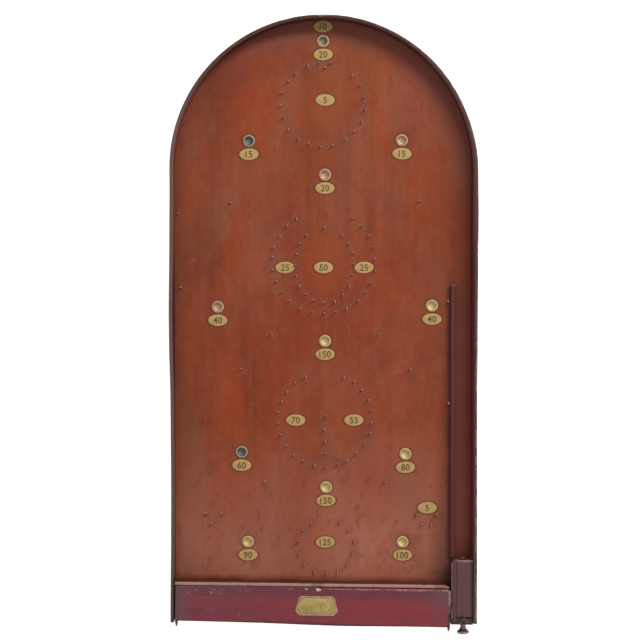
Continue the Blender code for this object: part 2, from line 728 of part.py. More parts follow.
def make_plunger(axis, steel, knob_wood, spring_steel):
    """Rod with its collar, the turned knob, and the spring between the collar and the end rail."""
    rod_start = KNOB_FRONT - KNOB_SOCKET + FIT_GAP
    tip = BOX_END + ROD_TIP_REACH
    collar_end = COLLAR_START + COLLAR_LENGTH
    profile = (
        (0, rod_start),
        (ROD_RADIUS, rod_start),
        (ROD_RADIUS, COLLAR_START),
        (COLLAR_RADIUS, COLLAR_START),
        (COLLAR_RADIUS, collar_end),
        (ROD_RADIUS, collar_end),
        (ROD_RADIUS, tip - ROD_RADIUS / 2),
        (ROD_RADIUS / 2, tip),
        (0, tip),
    )
    rod = add_object("plunger_rod", turned_mesh("plunger_rod", profile, 12, "Y"), axis, steel)
    smooth(rod)

    socket = ROD_RADIUS + FIT_GAP
    cap_end = KNOB_END + KNOB_CAP_LENGTH
    stem = KNOB_FRONT - cap_end
    flare = KNOB_RADIUS - KNOB_NECK_RADIUS
    profile = (
        (0, KNOB_END),
        (0.55 * KNOB_RADIUS, KNOB_END + 0.06 * KNOB_CAP_LENGTH),
        (0.90 * KNOB_RADIUS, KNOB_END + 0.30 * KNOB_CAP_LENGTH),
        (KNOB_RADIUS, KNOB_END + 0.68 * KNOB_CAP_LENGTH),
        (0.94 * KNOB_RADIUS, cap_end),
        (KNOB_NECK_RADIUS + 0.50 * flare, cap_end + 0.12 * stem),
        (KNOB_NECK_RADIUS + 0.19 * flare, cap_end + 0.36 * stem),
        (KNOB_NECK_RADIUS, cap_end + 0.70 * stem),
        (KNOB_NECK_RADIUS + 0.14 * flare, KNOB_FRONT - 0.06 * stem),
        (KNOB_NECK_RADIUS + 0.09 * flare, KNOB_FRONT),
        (socket, KNOB_FRONT),
        (socket, KNOB_FRONT - KNOB_SOCKET),
        (0, KNOB_FRONT - KNOB_SOCKET),
    )
    knob = add_object("plunger_knob", turned_mesh("plunger_knob", profile, 20, "Y"), axis, knob_wood)
    smooth(knob)

    make_spring(axis, spring_steel)


def make_spring(axis, spring_steel):
    """Coil spring round the rod, as one unbroken tube along a helix."""
    total = SPRING_TURNS * SPRING_TURN_POINTS
    start = SPRING_START + SPRING_WIRE_RADIUS
    travel = SPRING_END - SPRING_WIRE_RADIUS - start
    helix = []
    for step in range(total + 1):
        angle = 2 * math.pi * step / SPRING_TURN_POINTS
        along = start + travel * step / total
        helix.append(Vector((SPRING_RADIUS * math.cos(angle), along, SPRING_RADIUS * math.sin(angle))))
    tube_object("plunger_spring", helix, SPRING_WIRE_RADIUS, 1, axis, spring_steel)
    apart = SPRING_TURN_POINTS // 2
    gaps = [
        (helix[b] - helix[a]).length - 2 * SPRING_WIRE_RADIUS
        for a in range(total + 1)
        for b in range(a + apart, total + 1)
    ]
    print("plunger_spring least gap to itself, mm:", round(min(gaps) / MM, 2))


def tube_object(name, points, radius, resolution, parent, finish):
    """Round tube through points, as a bevelled curve with closed ends."""
    curve = bpy.data.curves.new(name, "CURVE")
    curve.dimensions = "3D"
    curve.bevel_depth = radius
    curve.bevel_resolution = resolution
    curve.use_fill_caps = True
    line = curve.splines.new("POLY")
    line.points.add(len(points) - 1)
    for knot, point in zip(line.points, points):
        knot.co = (*point, 1)
    line.use_smooth = True
    return add_object(name, curve, parent, finish)


def make_prop(board, steel, clip_wood):
    """Bent-wire prop, folded flat under the arch end, and the two blocks that its ends turn in."""
    level = FIELD_BOTTOM - FIT_GAP - CLIP_WALL - PROP_WIRE_RADIUS - RUNNING_GAP
    axis = make_empty("prop_axis", (0, PROP_ALONG * BOARD_LENGTH, level), board)
    half = PROP_WIDTH / 2
    bend = PROP_BEND_RADIUS
    right_side = [(half + PROP_PIVOT_LENGTH, 0)]
    right_side += arc((half + bend, bend), bend, -math.pi / 2, -math.pi, 5)
    right_side += arc((half - bend, PROP_LEG - bend), bend, 0, math.pi / 2, 5)
    path = right_side + [(-x, y) for x, y in right_side[::-1]]
    wire = [Vector((x, y, 0)) for x, y in path]
    tube_object("prop_wire", wire, PROP_WIRE_RADIUS, 2, axis, steel)

    hole = PROP_WIRE_RADIUS + RUNNING_GAP
    low = -hole - CLIP_WALL
    high = hole + CLIP_WALL
    clip_start = half + PROP_PIVOT_LENGTH - CLIP_WIDTH + CLIP_OVERHANG
    for label, sign in (("left", -1), ("right", 1)):
        edges = sorted((sign * clip_start, sign * (clip_start + CLIP_WIDTH)))
        block = rectangle(edges[0], edges[1], -CLIP_LENGTH / 2, CLIP_LENGTH / 2)
        name = "prop_clip_" + label
        clip = add_object(name, prism_mesh(name, block, low, high), axis, clip_wood)
        near = clip_start - CLIP_WIDTH
        profile = ((0, near), (hole, near), (hole, near + 3 * CLIP_WIDTH), (0, near + 3 * CLIP_WIDTH))
        tool = add_object(name + "_hole_tool", turned_mesh(name + "_hole", profile, 16), axis)
        tool.rotation_euler = (0, math.radians(90 * sign), 0)
        combine(clip, tool, "DIFFERENCE")


def build():
    clear_scene()
    mahogany = make_material("playfield_mahogany", (0.26, 0.062, 0.026), 0.45)
    rim_wood = make_material("rim_ply", (0.17, 0.095, 0.060), 0.6)
    red_wood = make_material("red_stained_wood", (0.19, 0.038, 0.045), 0.45)
    dark_wood = make_material("dark_stained_wood", (0.115, 0.042, 0.038), 0.5)
    rail_wood = make_material("worn_rail_wood", (0.34, 0.20, 0.15), 0.6)
    knob_wood = make_material("turned_knob_wood", (0.21, 0.13, 0.085), 0.5)
    brass = make_material("brass", (0.62, 0.42, 0.17), 0.35, 1.0)
    gilt = make_material("gilt_tag", (0.58, 0.41, 0.16), 0.45, 0.3)
    steel = make_material("steel_wire", (0.52, 0.50, 0.47), 0.35, 1.0)

    board = make_empty("board", (0, -MIDDLE_Y, 0))
    box = make_empty("ball_box", (LID_MIDDLE, 0, 0), board, -BOX_SKEW)

    cup_places = make_cups(board, brass)
    pin_places = make_pins(board, brass)
    make_playfield(board, mahogany, pin_places, cup_places)
    make_rim(board, rim_wood)
    make_tags(board, gilt)
    guide = make_lane(board, dark_wood, dark_wood)
    end_rail, plunger_axis = make_end_rail(board, box, red_wood, guide)
    make_inner_rail(board, rail_wood)
    make_lid(box, end_rail, red_wood, rail_wood, brass, steel)
    make_plunger(plunger_axis, steel, knob_wood, steel)
    make_prop(board, steel, dark_wood)


build()
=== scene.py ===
"""Looks of an old bagatelle board: worn woods, brass pins and cups, gilt score tags.

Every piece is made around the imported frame, in metres, in the frame's own axes: +X towards the shooting
lane, +Y from the player's end to the arch, +Z up. Wooden pieces start from the frame's solids: their edges
are rounded, sliced finely, nicked and marked with a wear attribute that the wood materials read.
A colour is a tuple of red, green and blue screen values from 0 to 255.
"""

import json
import math
import random

import bmesh
import bpy
from mathutils import Matrix, Vector, noise


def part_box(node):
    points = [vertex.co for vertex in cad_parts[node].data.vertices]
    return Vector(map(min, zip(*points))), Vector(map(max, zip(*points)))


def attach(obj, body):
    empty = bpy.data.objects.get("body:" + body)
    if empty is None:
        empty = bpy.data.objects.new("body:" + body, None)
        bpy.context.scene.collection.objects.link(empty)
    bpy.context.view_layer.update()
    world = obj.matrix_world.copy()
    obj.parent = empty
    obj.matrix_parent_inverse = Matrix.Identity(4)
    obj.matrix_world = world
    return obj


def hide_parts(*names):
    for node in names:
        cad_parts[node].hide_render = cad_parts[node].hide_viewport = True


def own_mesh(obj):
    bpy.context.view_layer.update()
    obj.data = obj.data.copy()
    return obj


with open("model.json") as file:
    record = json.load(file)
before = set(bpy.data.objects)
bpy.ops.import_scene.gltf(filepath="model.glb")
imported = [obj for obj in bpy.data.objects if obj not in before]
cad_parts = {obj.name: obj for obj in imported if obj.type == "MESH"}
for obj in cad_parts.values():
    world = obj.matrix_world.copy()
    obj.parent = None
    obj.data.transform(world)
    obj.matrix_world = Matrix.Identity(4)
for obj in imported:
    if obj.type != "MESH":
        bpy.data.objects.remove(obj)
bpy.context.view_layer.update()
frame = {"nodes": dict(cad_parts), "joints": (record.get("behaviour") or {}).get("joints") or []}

MM = 0.001
JOINTS = {joint["name"]: joint for joint in frame["joints"]}
IN_PLACE = Matrix.Identity(4)

# Levels and places read from the frame
RIM_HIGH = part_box("rim_band")[1]
FIELD_LOW, FIELD_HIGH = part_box("playfield")
FIELD_TOP = FIELD_HIGH.z
FIELD_BOTTOM = FIELD_LOW.z
HALF_WIDTH = RIM_HIGH.x
ARCH_Y = RIM_HIGH.y - HALF_WIDTH

# Rim section
RIM_THICKNESS = 4.5 * MM
RIM_STEP = 5 * MM
RIM_ROUND = 0.8 * MM
RIM_LEAN_FADE = 70

# Lean of the rim's top: places along the left and the right leg with the lean outwards, in mm
LEFT_LEANS = (
    (-400, -0.2), (-351, -0.2), (-277, -1.1), (-202, -1.5), (-153, -1.3), (-79, -0.8), (-29, 0.6), (20, 1.1),
    (95, 0.1), (169, -0.5), (220, -0.2),
)
RIGHT_LEANS = ((-400, 1.6), (-250, 1.5), (-79, 1.0), (-29, 1.4), (45, 1.6), (95, 2.0), (145, 2.2), (200, 1.6))

# Pins, and how strongly each ring of pins is stained inside
PIN_NODES = sorted(name for name in frame["nodes"] if name.startswith(("pin_", "pins_")))
PIN_RADIUS = 0.95 * MM
PIN_STAIN_RADIUS = 1.25 * MM
PIN_LEAN = math.radians(13)
BENT_PIN_LEAN = math.radians(26)
RING_STAINS = {
    "pin_ring_top": 0.4, "pin_horseshoe_inner": 0.45, "pin_ring_middle": 0.25, "pin_ring_bottom": 0.1,
}

# Grime round the cups, and grime with painted shade round the tags: names, the node that gives their size,
# reach in sizes, strength, colour
FIELD_GRIME_AND_SHADE = (("tag_", "tag_50", 1.32, 0.85, (94, 46, 24)), ("cup_", "cup_80", 1.4, 0.8, (88, 44, 28)))

# Cups and their nail heads
CUP_BORE = 5.3 * MM
CUP_NAIL_RADIUS = 2.1 * MM

# Points round an oval tag, and its numerals
TAG_POINTS = 48
NUMERAL_SIZE = 11.6 * MM
NUMERAL_NARROWING = 0.92
NUMERAL_WEIGHT = 0.17 * MM

# Marks on the field in mm: ends of scratches, pale dings, and places and leans of the nails by the divider
FIELD_SCRATCHES = (
    ((82.5, -60.0), (100.0, -54.4)), ((-62.0, 172.0), (-58.5, 160.0)), ((31.0, 8.0), (33.0, -14.0)),
)
SCRATCH_WIDTH = 0.28 * MM
SCRATCH_STEPS = 8
FIELD_DINGS = ((-177.8, 48.9), (-181.6, 34.5), (-181.6, 29.5), (-168.0, 96.0), (-162.0, 84.0))
STRAY_DINGS = 16
DIVIDER_NAILS = ((156.6, 34.5, 38), (157.6, -94.5, 20))

# Slicing and sharp edges of wooden pieces
FEWEST_SLICES = 6
NARROWEST_SLICE = 1.0 * MM
SHORTEST_EDGE = 2.5 * MM
SHARP_ANGLE = math.radians(40)

# The lid and its rail are turned a little about Z, and the inner rail less
LID_PIVOT = Vector(JOINTS["lid_hinge"]["pos_m"])
LID_AXIS = Vector(JOINTS["lid_hinge"]["axis"])
LID_TURN = math.atan2(LID_AXIS.y, LID_AXIS.x)
RAIL_TURN = math.radians(-0.7)
BOX_PLACE = Matrix.Translation(LID_PIVOT) @ Matrix.Rotation(LID_TURN, 4, "Z")
LID_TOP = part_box("ball_box_lid")[1].z - LID_PIVOT.z
LID_NEAR_EDGE = -6.1 * MM
LID_NEAR_SLOPE = 0.006

# Marks on the lid in mm in its own axes: middle and half sizes of each, and the strength of the chips
LID_CHIPS = ((-8.2, 37.6, 2.7, 1.4, 0.45), (6.5, 37.2, 3.6, 1.9, 1.0))
LID_SCUFFS = (
    (-156, 33.0, 6, 4.0), (-147, 34.5, 5, 3.0), (-120, 32.5, 14, 5.5), (-90, 35.0, 14, 3.0),
    (-24, 37.0, 9, 2.0),
)
LID_SCRATCHES = ((-131, 9.6, 6.0, 0.6), (-125, 8.6, 0.7, 4.5))

# Line of the inner rail's near face in the lid's axes, and the lid's far edge beside it
RAIL_LINE = 40.5 * MM
RAIL_SLOPE = 0.00698
LID_FAR_EDGE = 38.6 * MM
LID_CLOSE_GAP = 0.3 * MM
LID_OPEN_GAP = 1.8 * MM
LID_SPLIT = 8 * MM
LID_NEAR_BOW = 1.5 * MM
LID_HALF_WIDTH = 171.6 * MM
CHEEK_HALF_THICKNESS = 1.5 * MM
CHEEK_SHIFT = 0.5 * MM
CHEEK_NARROWING = 0.55

# Name plate: corners in half sizes, rings as inset in mm and share of the thickness, and the border's ring
PLATE_CORNERS = (
    (1.0, -0.56), (0.85, 0.82), (0.72, 1.0), (-0.72, 1.0), (-0.85, 0.82), (-1.0, -0.56),
    (-0.82, -1.0), (0.82, -1.0),
)
PLATE_RINGS = ((0.0, 0.0), (0.0, 0.7), (0.3, 1.0), (1.9, 1.0), (2.2, 0.8), (2.5, 0.8), (2.8, 1.0))
PLATE_BORDER = 4

# Plunger: rod, collar, knob outline as shares of its half width and length, and spring
ROD_RADIUS = 2.5 * MM
COLLAR_LENGTH = 3 * MM
COLLAR_ROUND = 0.4 * MM
KNOB_SOCKET = 2.8 * MM
KNOB_SOCKET_DEPTH = 9 * MM
KNOB_OUTLINE = (
    (0.0, 0.0), (0.30, 0.005), (0.55, 0.02), (0.76, 0.055), (0.90, 0.105), (0.98, 0.17), (1.0, 0.235),
    (0.985, 0.29), (0.94, 0.335), (0.84, 0.375), (0.72, 0.42), (0.62, 0.48), (0.545, 0.55),
    (0.49, 0.63), (0.455, 0.72), (0.44, 0.81), (0.45, 0.88), (0.50, 0.93), (0.53, 0.965), (0.50, 1.0),
)
SPRING_WIRE = 0.6 * MM
SPRING_TURNS = 9
TURN_POINTS = 24

# Prop
PROP_BEND = 8 * MM
PROP_LEG = 110 * MM

# Camera: the photograph looks almost straight down, from three metres
CAMERA_PLACE = Vector((-3.87 * MM, 144.9 * MM, 3054 * MM))
CAMERA_TILT = math.radians(-2.58)
CAMERA_LENS = 136.3
SENSOR_WIDTH = 36

# Light: a wide soft key over the far right of the board, and an even sky
KEY_DIRECTION = (0.54, 0.70, 1.0)
KEY_DISTANCE = 3.5
KEY_SIZE = (2.1, 0.65)
KEY_POWER = 76
SKY_STRENGTH = 0.50
FLOOR_GLOW = 0.85
FLOOR_SIZE = 60
FLOOR_LEVEL = -0.2 * MM

# Sockets of a Mix node for colours
MIX_FACTOR = 0
MIX_COLOUR_A = 6
MIX_COLOUR_B = 7
MIX_COLOUR_RESULT = 2

# Gloss of varnish, strength and distance of bumps, and stretch of the noise for grain along X, Y or a bend
VARNISH_GLOSS = 0.3
FIELD_GLOSS = 0.25
WOOD_BUMP = (0.25, 0.0003)
FIELD_BUMP = (0.2, 0.0003)
METAL_BUMP = (0.08, 0.0002)
GRAIN_X = (3.0, 150, 150)
GRAIN_Y = (150, 3.0, 150)
BENT_GRAIN = (5, 5, 190)


# Colour helpers

def linear(tone):
    """Linear colour from three screen values of 0 to 255."""
    shares = [value / 255 for value in tone]
    return [share / 12.92 if share <= 0.04045 else ((share + 0.055) / 1.055) ** 2.4 for share in shares]


class Coat:
    """A Principled material, the colour laid on it so far, and short ways to add nodes to it."""

    def __init__(self, name, roughness=0.5, metallic=0.0, gloss=0.5):
        self.material = bpy.data.materials.new(name)
        self.material.use_nodes = True
        self.tree = self.material.node_tree
        self.surface = self.tree.nodes["Principled BSDF"].inputs
        self.surface["Roughness"].default_value = roughness
        self.surface["Metallic"].default_value = metallic
        self.surface["Specular IOR Level"].default_value = gloss
        places = self.node("TexCoord").outputs
        self.place = places["Object"]
        self.facing = places["Normal"]
        self.tint = None

    def node(self, kind, **inputs):
        made = self.tree.nodes.new("ShaderNode" + kind)
        for name, value in inputs.items():
            self.feed(made.inputs[name.replace("_", " ")], value)
        return made

    def feed(self, socket, value):
        """Link a socket to another or to a mask row, or set it to a colour or a plain value."""
        if isinstance(value, tuple) and isinstance(value[0], str):
            value = self.mask(*value)
        if isinstance(value, bpy.types.NodeSocket):
            self.tree.links.new(value, socket)
        elif isinstance(value, tuple):
            socket.default_value = (*linear(value), 1.0)
        else:
            socket.default_value = value

    def noise(self, scale, detail=3.0, rough=0.55, stretch=None, distortion=0.0):
        place = self.place
        if stretch is not None:
            place = self.node("Mapping", Vector=place, Scale=Vector(stretch)).outputs["Vector"]
        values = {"Scale": scale, "Detail": detail, "Roughness": rough, "Distortion": distortion}
        return self.node("TexNoise", Vector=place, **values).outputs["Fac"]

    def ramp(self, factor, positions, tones):
        """Colours, or plain greys, at positions along a factor."""
        made = self.node("ValToRGB", Fac=factor)
        band = made.color_ramp.elements
        while len(band) < len(tones):
            band.new(0.5)
        for element, position, tone in zip(band, positions, tones):
            element.position = position
            element.color = (*linear(tone), 1.0) if isinstance(tone, tuple) else (tone, tone, tone, 1.0)
        return made.outputs["Color"]

    def math(self, operation, first, second=0.0, kind="Math", result="Value"):
        made = self.node(kind)
        made.operation = operation
        self.feed(made.inputs[0], first)
        self.feed(made.inputs[1], second)
        return made.outputs[result]

    def times(self, first, *others):
        for other in others:
            first = self.math("MULTIPLY", first, other)
        return first

    def nearest(self, middles, half_width, half_height):
        """Distance over the field to the nearest middle, in half widths across and half heights along."""
        shares = Vector((1 / half_width, 1 / half_height, 0))
        here = self.math("MULTIPLY", self.place, shares, "VectorMath", "Vector")
        found = None
        for across, along in middles:
            there = Vector((across / half_width, along / half_height, 0))
            gap = self.math("DISTANCE", here, there, "VectorMath")
            found = gap if found is None else self.math("MINIMUM", found, gap)
        return found

    def oval(self, across, along, half_width, half_height, full, strength):
        """Strength inside an oval in mm, from nothing at its edge to all of it at a share of its size."""
        gap = self.nearest([(across * MM, along * MM)], half_width * MM, half_height * MM)
        return self.between(gap, 1.0, full, 0.0, strength)

    def mix(self, factor, first, second, blend="MIX"):
        made = self.node("Mix")
        made.data_type = "RGBA"
        made.blend_type = blend
        for socket, value in ((MIX_FACTOR, factor), (MIX_COLOUR_A, first), (MIX_COLOUR_B, second)):
            self.feed(made.inputs[socket], value)
        return made.outputs[MIX_COLOUR_RESULT]

    def axis(self, letter):
        return self.node("SeparateXYZ", Vector=self.place).outputs[letter]

    def between(self, value, low, high, to_low=0.0, to_high=1.0):
        made = self.node("MapRange", Value=value, From_Min=low, From_Max=high, To_Min=to_low, To_Max=to_high)
        return made.outputs["Result"]

    def mask(self, kind, *limits):
        """A mask from a row: an axis letter or noise with its numbers, then what between takes."""
        if kind == "noise":
            return self.between(self.noise(*limits[0]), *limits[1:])
        return self.between(self.axis(kind), *limits)

    def lay(self, tone, *masks):
        """Lay a tone over the colour so far, as strongly as the masks together."""
        self.tint = self.mix(self.times(*masks), self.tint, tone)

    def shade(self, amount):
        """Darken or lighten the colour so far, by an amount round 1."""
        grey = self.node("CombineColor", Red=amount, Green=amount, Blue=amount).outputs["Color"]
        self.tint = self.mix(1.0, self.tint, grey, "MULTIPLY")

    def finish(self, rough=None, height=None, strength=0.0, distance=0.0):
        """Join up the colour, any roughness and any bump, and give the material."""
        self.feed(self.surface["Base Color"], self.tint)
        if rough is not None:
            self.feed(self.surface["Roughness"], rough)
        if height is not None:
            made = self.node("Bump", Height=height, Strength=strength, Distance=distance)
            self.feed(self.surface["Normal"], made.outputs["Normal"])
        return self.material


# Places read from the frame's boxes

def middle_and_half(node):
    """Middle and half size of a node's box."""
    low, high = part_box(node)
    return (low + high) / 2, (high - low) / 2


def names_from(prefix):
    return sorted(name for name in frame["nodes"] if name.startswith(prefix))


def pin_tops(node):
    """Middle of each pin's top in a group's solid."""
    data = frame["nodes"][node].data
    level = max(vert.co.z for vert in data.vertices)
    groups = []
    for vert in data.vertices:
        if level - vert.co.z > 0.1 * MM:
            continue
        for group in groups:
            if (group[0] - vert.co).length < 3 * MM:
                group.append(vert.co.copy())
                break
        else:
            groups.append([vert.co.copy()])
    tops = []
    for group in groups:
        distinct = {tuple(round(value, 5) for value in point) for point in group}
        tops.append(sum((Vector(point) for point in distinct), Vector()) / len(distinct))
    return sorted(tops, key=lambda point: (round(point.y, 4), point.x))


# Wood

def wood(name, tones, grain, bloom, amount, worn, rough=(0.4, 0.6), pores=0.25, layers=None, dirt=0.4):
    """Stained and varnished wood: streaks along the grain, pores, cloudy bloom, and wear at the edges.

    tones are three colours from dark to light, grain is the stretch of the streaks along X, Y and Z, bloom is
    a colour laid on in clouds by an amount, worn is the colour where the stain is rubbed off, layers may lay
    more colour over the stain, and dirt is how dark the grime beside the worn edges is.
    """
    coat = Coat(name, gloss=VARNISH_GLOSS)
    streak = coat.noise(1.0, 5.0, 0.6, grain, 0.3)
    coat.tint = coat.ramp(streak, (0.30, 0.50, 0.72), tones)
    fine = coat.noise(1.0, 3.0, 0.6, [value * 5 for value in grain])
    coat.shade(coat.between(fine, 0.3, 0.7, 0.86, 1.10))
    pore_stretch = [value * (14 if value > 40 else 6) for value in grain]
    pore_mask = ("noise", (1.0, 1.0, 0.5, pore_stretch), 0.62, 0.72, 0.0, pores)
    coat.lay(tones[0], pore_mask)
    cloud = coat.noise(5.5, 4.0, 0.6)
    coat.lay(bloom, coat.between(cloud, 0.45, 0.72, 0.0, amount))
    if layers is not None:
        layers(coat)
    attribute = coat.node("Attribute")
    attribute.attribute_name = "wear"
    patchy = ("noise", (160.0, 4.0, 0.65), 0.25, 0.6, 0.35, 1.5)
    wear = coat.times(attribute.outputs["Fac"], patchy)
    rubbed = coat.between(wear, 0.30, 0.75)
    coat.lay(worn, rubbed)
    dark = [0.45 * value for value in linear(tones[0])] + [1.0]
    coat.lay(dark, coat.between(wear, 0.08, 0.28, 0.0, dirt), coat.math("SUBTRACT", 1.0, rubbed))
    height = coat.math("SUBTRACT", coat.times(fine, 0.5), pore_mask)
    return coat.finish(coat.between(cloud, 0.3, 0.7, *rough), height, *WOOD_BUMP)


def dark_sides(node, tone):
    """Layers that colour a piece's sides, below the rounding of its top: painted shade on some pieces, the
    kept stain on others.
    """
    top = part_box(node)[1].z

    def layers(coat):
        coat.lay(tone, ("Z", top - 0.45 * MM, top - 0.9 * MM))

    return layers


def lid_layers(coat):
    """Faded and rubbed stain on the lid, in the lid's own axes: red low down, purple along the far edge,
    grey at both ends, pale scuffs and chips, a dark line at the near edge, and red sides."""
    broken = coat.noise(60.0, 4.0, 0.6)
    streak = ("noise", (1.0, 4.0, 0.6, (7, 90, 90), 0.4), 0.35, 0.65, 0.25, 1.0)
    coat.lay((143, 52, 61), ("X", -0.15, 0.10, 0.2, 0.9), ("Y", 0.036, 0.018), streak)
    coat.lay((97, 55, 63), ("Y", 0.022, 0.037), coat.between(broken, 0.3, 0.6, 0.3, 0.8))
    coat.lay((106, 78, 82), ("X", -0.148, -0.172), coat.between(broken, 0.3, 0.6, 0.5, 1.0))
    coat.lay((110, 70, 74), ("X", 0.135, 0.165), ("Y", 0.005, 0.03, 0.2, 0.9))
    specks = ("noise", (380.0, 2.0, 0.6), 0.56, 0.64)
    for scuff in LID_SCUFFS:
        coat.lay((170, 126, 134), specks, coat.oval(*scuff, 0.4, 0.9))
    for scratch in LID_SCRATCHES:
        coat.lay((160, 104, 104), coat.oval(*scratch, 0.5, 0.5))
    coat.lay((164, 106, 112), ("noise", (260.0, 2.0, 0.5), 0.68, 0.75, 0.0, 0.45))
    for across, along, half_width, half_height, share in LID_CHIPS:
        gap = coat.nearest([(across * MM, along * MM)], half_width * MM, half_height * MM)
        ragged = coat.math("ADD", gap, ("noise", (420.0, 3.0, 0.6), 0.3, 0.7, -0.4, 0.4))
        coat.lay((214, 184, 176), coat.between(ragged, 1.0, 0.75, 0.0, share))
    line = coat.math("ADD", coat.axis("Y"), coat.times(coat.axis("X"), LID_NEAR_SLOPE))
    coat.lay((62, 48, 46), coat.between(line, LID_NEAR_EDGE + 1.5 * MM, LID_NEAR_EDGE + 0.3 * MM, 0.0, 0.8))
    coat.lay((112, 42, 48), ("Z", LID_TOP - 0.5 * MM, LID_TOP - 0.9 * MM))


def wall_shade_layers(coat):
    """Painted shade on the left face of the wall of the plunger's housing, the face turned from the key
    light.
    """
    low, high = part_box("plunger_box_wall")
    left = ("X", low.x + 1.2 * MM, low.x + 0.6 * MM)
    coat.lay((50, 26, 24), left, ("Z", high.z - 0.5 * MM, high.z - 0.9 * MM))


def end_rail_shade_layers(coat):
    """Painted shade with dirt, mottled dark, on the end rail below the plunger's cover, red again at its near
    edge.
    """
    mottled = coat.mix(("noise", (240.0, 3.0, 0.6), 0.42, 0.6), (54, 38, 36), (94, 70, 68))
    coat.lay(mottled, ("X", 170 * MM, 176 * MM), ("Y", -3.2 * MM, -1.0 * MM, 0.25, 1.0))


def rim_layers(coat):
    """Paler wood on the rim's left leg, grey dirt on both legs towards the player's end, and a dark line
    beside the lid's left end."""
    coat.lay((126, 98, 90), ("X", -0.10, -0.14), ("Y", 0.30, 0.25), 0.5)
    coat.lay((84, 72, 66), ("Y", -0.12, -0.30, 0.0, 0.75))
    inside = RIM_THICKNESS - HALF_WIDTH
    line = ("X", inside - 1.5 * MM, inside - 0.8 * MM, 0.0, 0.85)
    coat.lay((26, 18, 16), line, ("Y", -0.305, -0.315), ("X", 0.0, -0.01))


def inner_rim_light_layers(coat):
    """Painted light on the rim's inner face, lifting its shade: lighter and redder on the right beside the
    lane, and paler on both sides of the arch.
    """
    coat.lay((120, 58, 50), ("X", 0.10, 0.14), ("Y", 0.20, 0.05), 0.8)
    arch = coat.times(("Y", 0.05, 0.13), ("Y", 0.35, 0.29))
    edge = ("Z", RIM_HIGH.z - 25 * MM, RIM_HIGH.z - 12 * MM)
    coat.lay((142, 108, 102), arch, edge, ("X", 0.08, 0.13, 0.0, 0.85))
    coat.lay((134, 84, 70), arch, ("X", -0.06, -0.12, 0.0, 0.85))


def cheek_layers(coat):
    """The left cheek is stained like the lid's end, and both feet are dark."""
    coat.lay((106, 80, 82), ("X", 0.0, -0.01))
    coat.lay((66, 56, 52), ("Y", -0.004, -0.008))


def knob_shade_layers(coat):
    """Painted shade on the knob's sides, where they turn away from above, and dirt with painted shade in the
    groove behind its cap.
    """
    low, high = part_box("plunger_knob")
    facing = coat.node("SeparateXYZ", Vector=coat.facing).outputs["Z"]
    coat.lay((44, 32, 28), coat.between(facing, 0.85, 0.45))
    groove = low.y + 0.36 * (high.y - low.y)
    gap = coat.math("ABSOLUTE", coat.math("SUBTRACT", coat.axis("Y"), groove))
    coat.lay((60, 46, 40), coat.between(gap, 1.3 * MM, 0.3 * MM, 0.0, 0.75))


RIM_WOOD = wood(
    "rim_bent_ply", ((64, 34, 28), (86, 50, 43), (102, 64, 56)), BENT_GRAIN, (98, 70, 64), 0.5,
    (146, 122, 117), (0.5, 0.7), layers=rim_layers,
)
RIM_INSIDE_WOOD = wood(
    "rim_inner_face", ((56, 26, 20), (80, 40, 33), (98, 54, 46)), BENT_GRAIN, (96, 60, 54), 0.4,
    (130, 96, 88), (0.5, 0.7), layers=inner_rim_light_layers,
)
LID_WOOD = wood(
    "lid_maroon", ((108, 50, 58), (121, 56, 64), (131, 58, 65)), (5, 70, 70), (116, 68, 75), 0.6,
    (168, 116, 118), (0.35, 0.55), pores=0.15, layers=lid_layers, dirt=0.1,
)
END_WOOD = wood(
    "end_rail_maroon", ((66, 28, 32), (92, 38, 44), (112, 46, 50)), GRAIN_X, (92, 60, 62), 0.5,
    (150, 104, 94), layers=end_rail_shade_layers,
)
RAIL_WOOD = wood(
    "inner_rail_worn", ((124, 100, 82), (144, 120, 100), (158, 134, 112)), GRAIN_X, (146, 124, 104), 0.5,
    (172, 138, 127), (0.45, 0.65), layers=dark_sides("inner_rail", (100, 40, 25)), dirt=0.08,
)
CHEEK_WOOD = wood(
    "lid_cheek_worn", ((78, 46, 48), (98, 58, 60), (112, 66, 68)), (150, 4, 150), (104, 78, 76), 0.5,
    (150, 114, 108), (0.45, 0.65), layers=cheek_layers,
)
# The divider's sides get painted shade.
DIVIDER_WOOD = wood(
    "divider_stain_and_painted_shade", ((72, 33, 30), (90, 44, 41), (102, 53, 48)), GRAIN_Y, (96, 51, 47), 0.4,
    (132, 94, 86), layers=dark_sides("lane_divider", (82, 44, 38)), dirt=0.2,
)
# The wall's left face gets painted shade.
DARK_WOOD = wood(
    "lane_stain_and_painted_shade", ((78, 48, 47), (98, 64, 62), (108, 72, 70)), GRAIN_Y, (106, 76, 76), 0.5,
    (148, 112, 106), layers=wall_shade_layers,
)
# The cover's sides, its far face with them, get painted shade.
COVER_WOOD = wood(
    "cover_stain_and_painted_shade", ((84, 54, 53), (101, 68, 66), (112, 78, 76)), GRAIN_Y, (106, 76, 76), 0.5,
    (146, 112, 110), layers=dark_sides("plunger_cover", (48, 24, 22)), dirt=0.2,
)
CLIP_WOOD = wood(
    "clip_plain_wood", ((120, 84, 54), (148, 108, 72), (166, 126, 88)), GRAIN_Y, (130, 104, 80), 0.4,
    (186, 154, 116), (0.5, 0.7),
)
KNOB_WOOD = wood(
    "knob_turned_wood", ((146, 120, 102), (182, 154, 132), (206, 180, 158)), GRAIN_Y, (104, 86, 80), 0.5,
    (160, 136, 120), (0.22, 0.4), layers=knob_shade_layers,
)


# Playfield

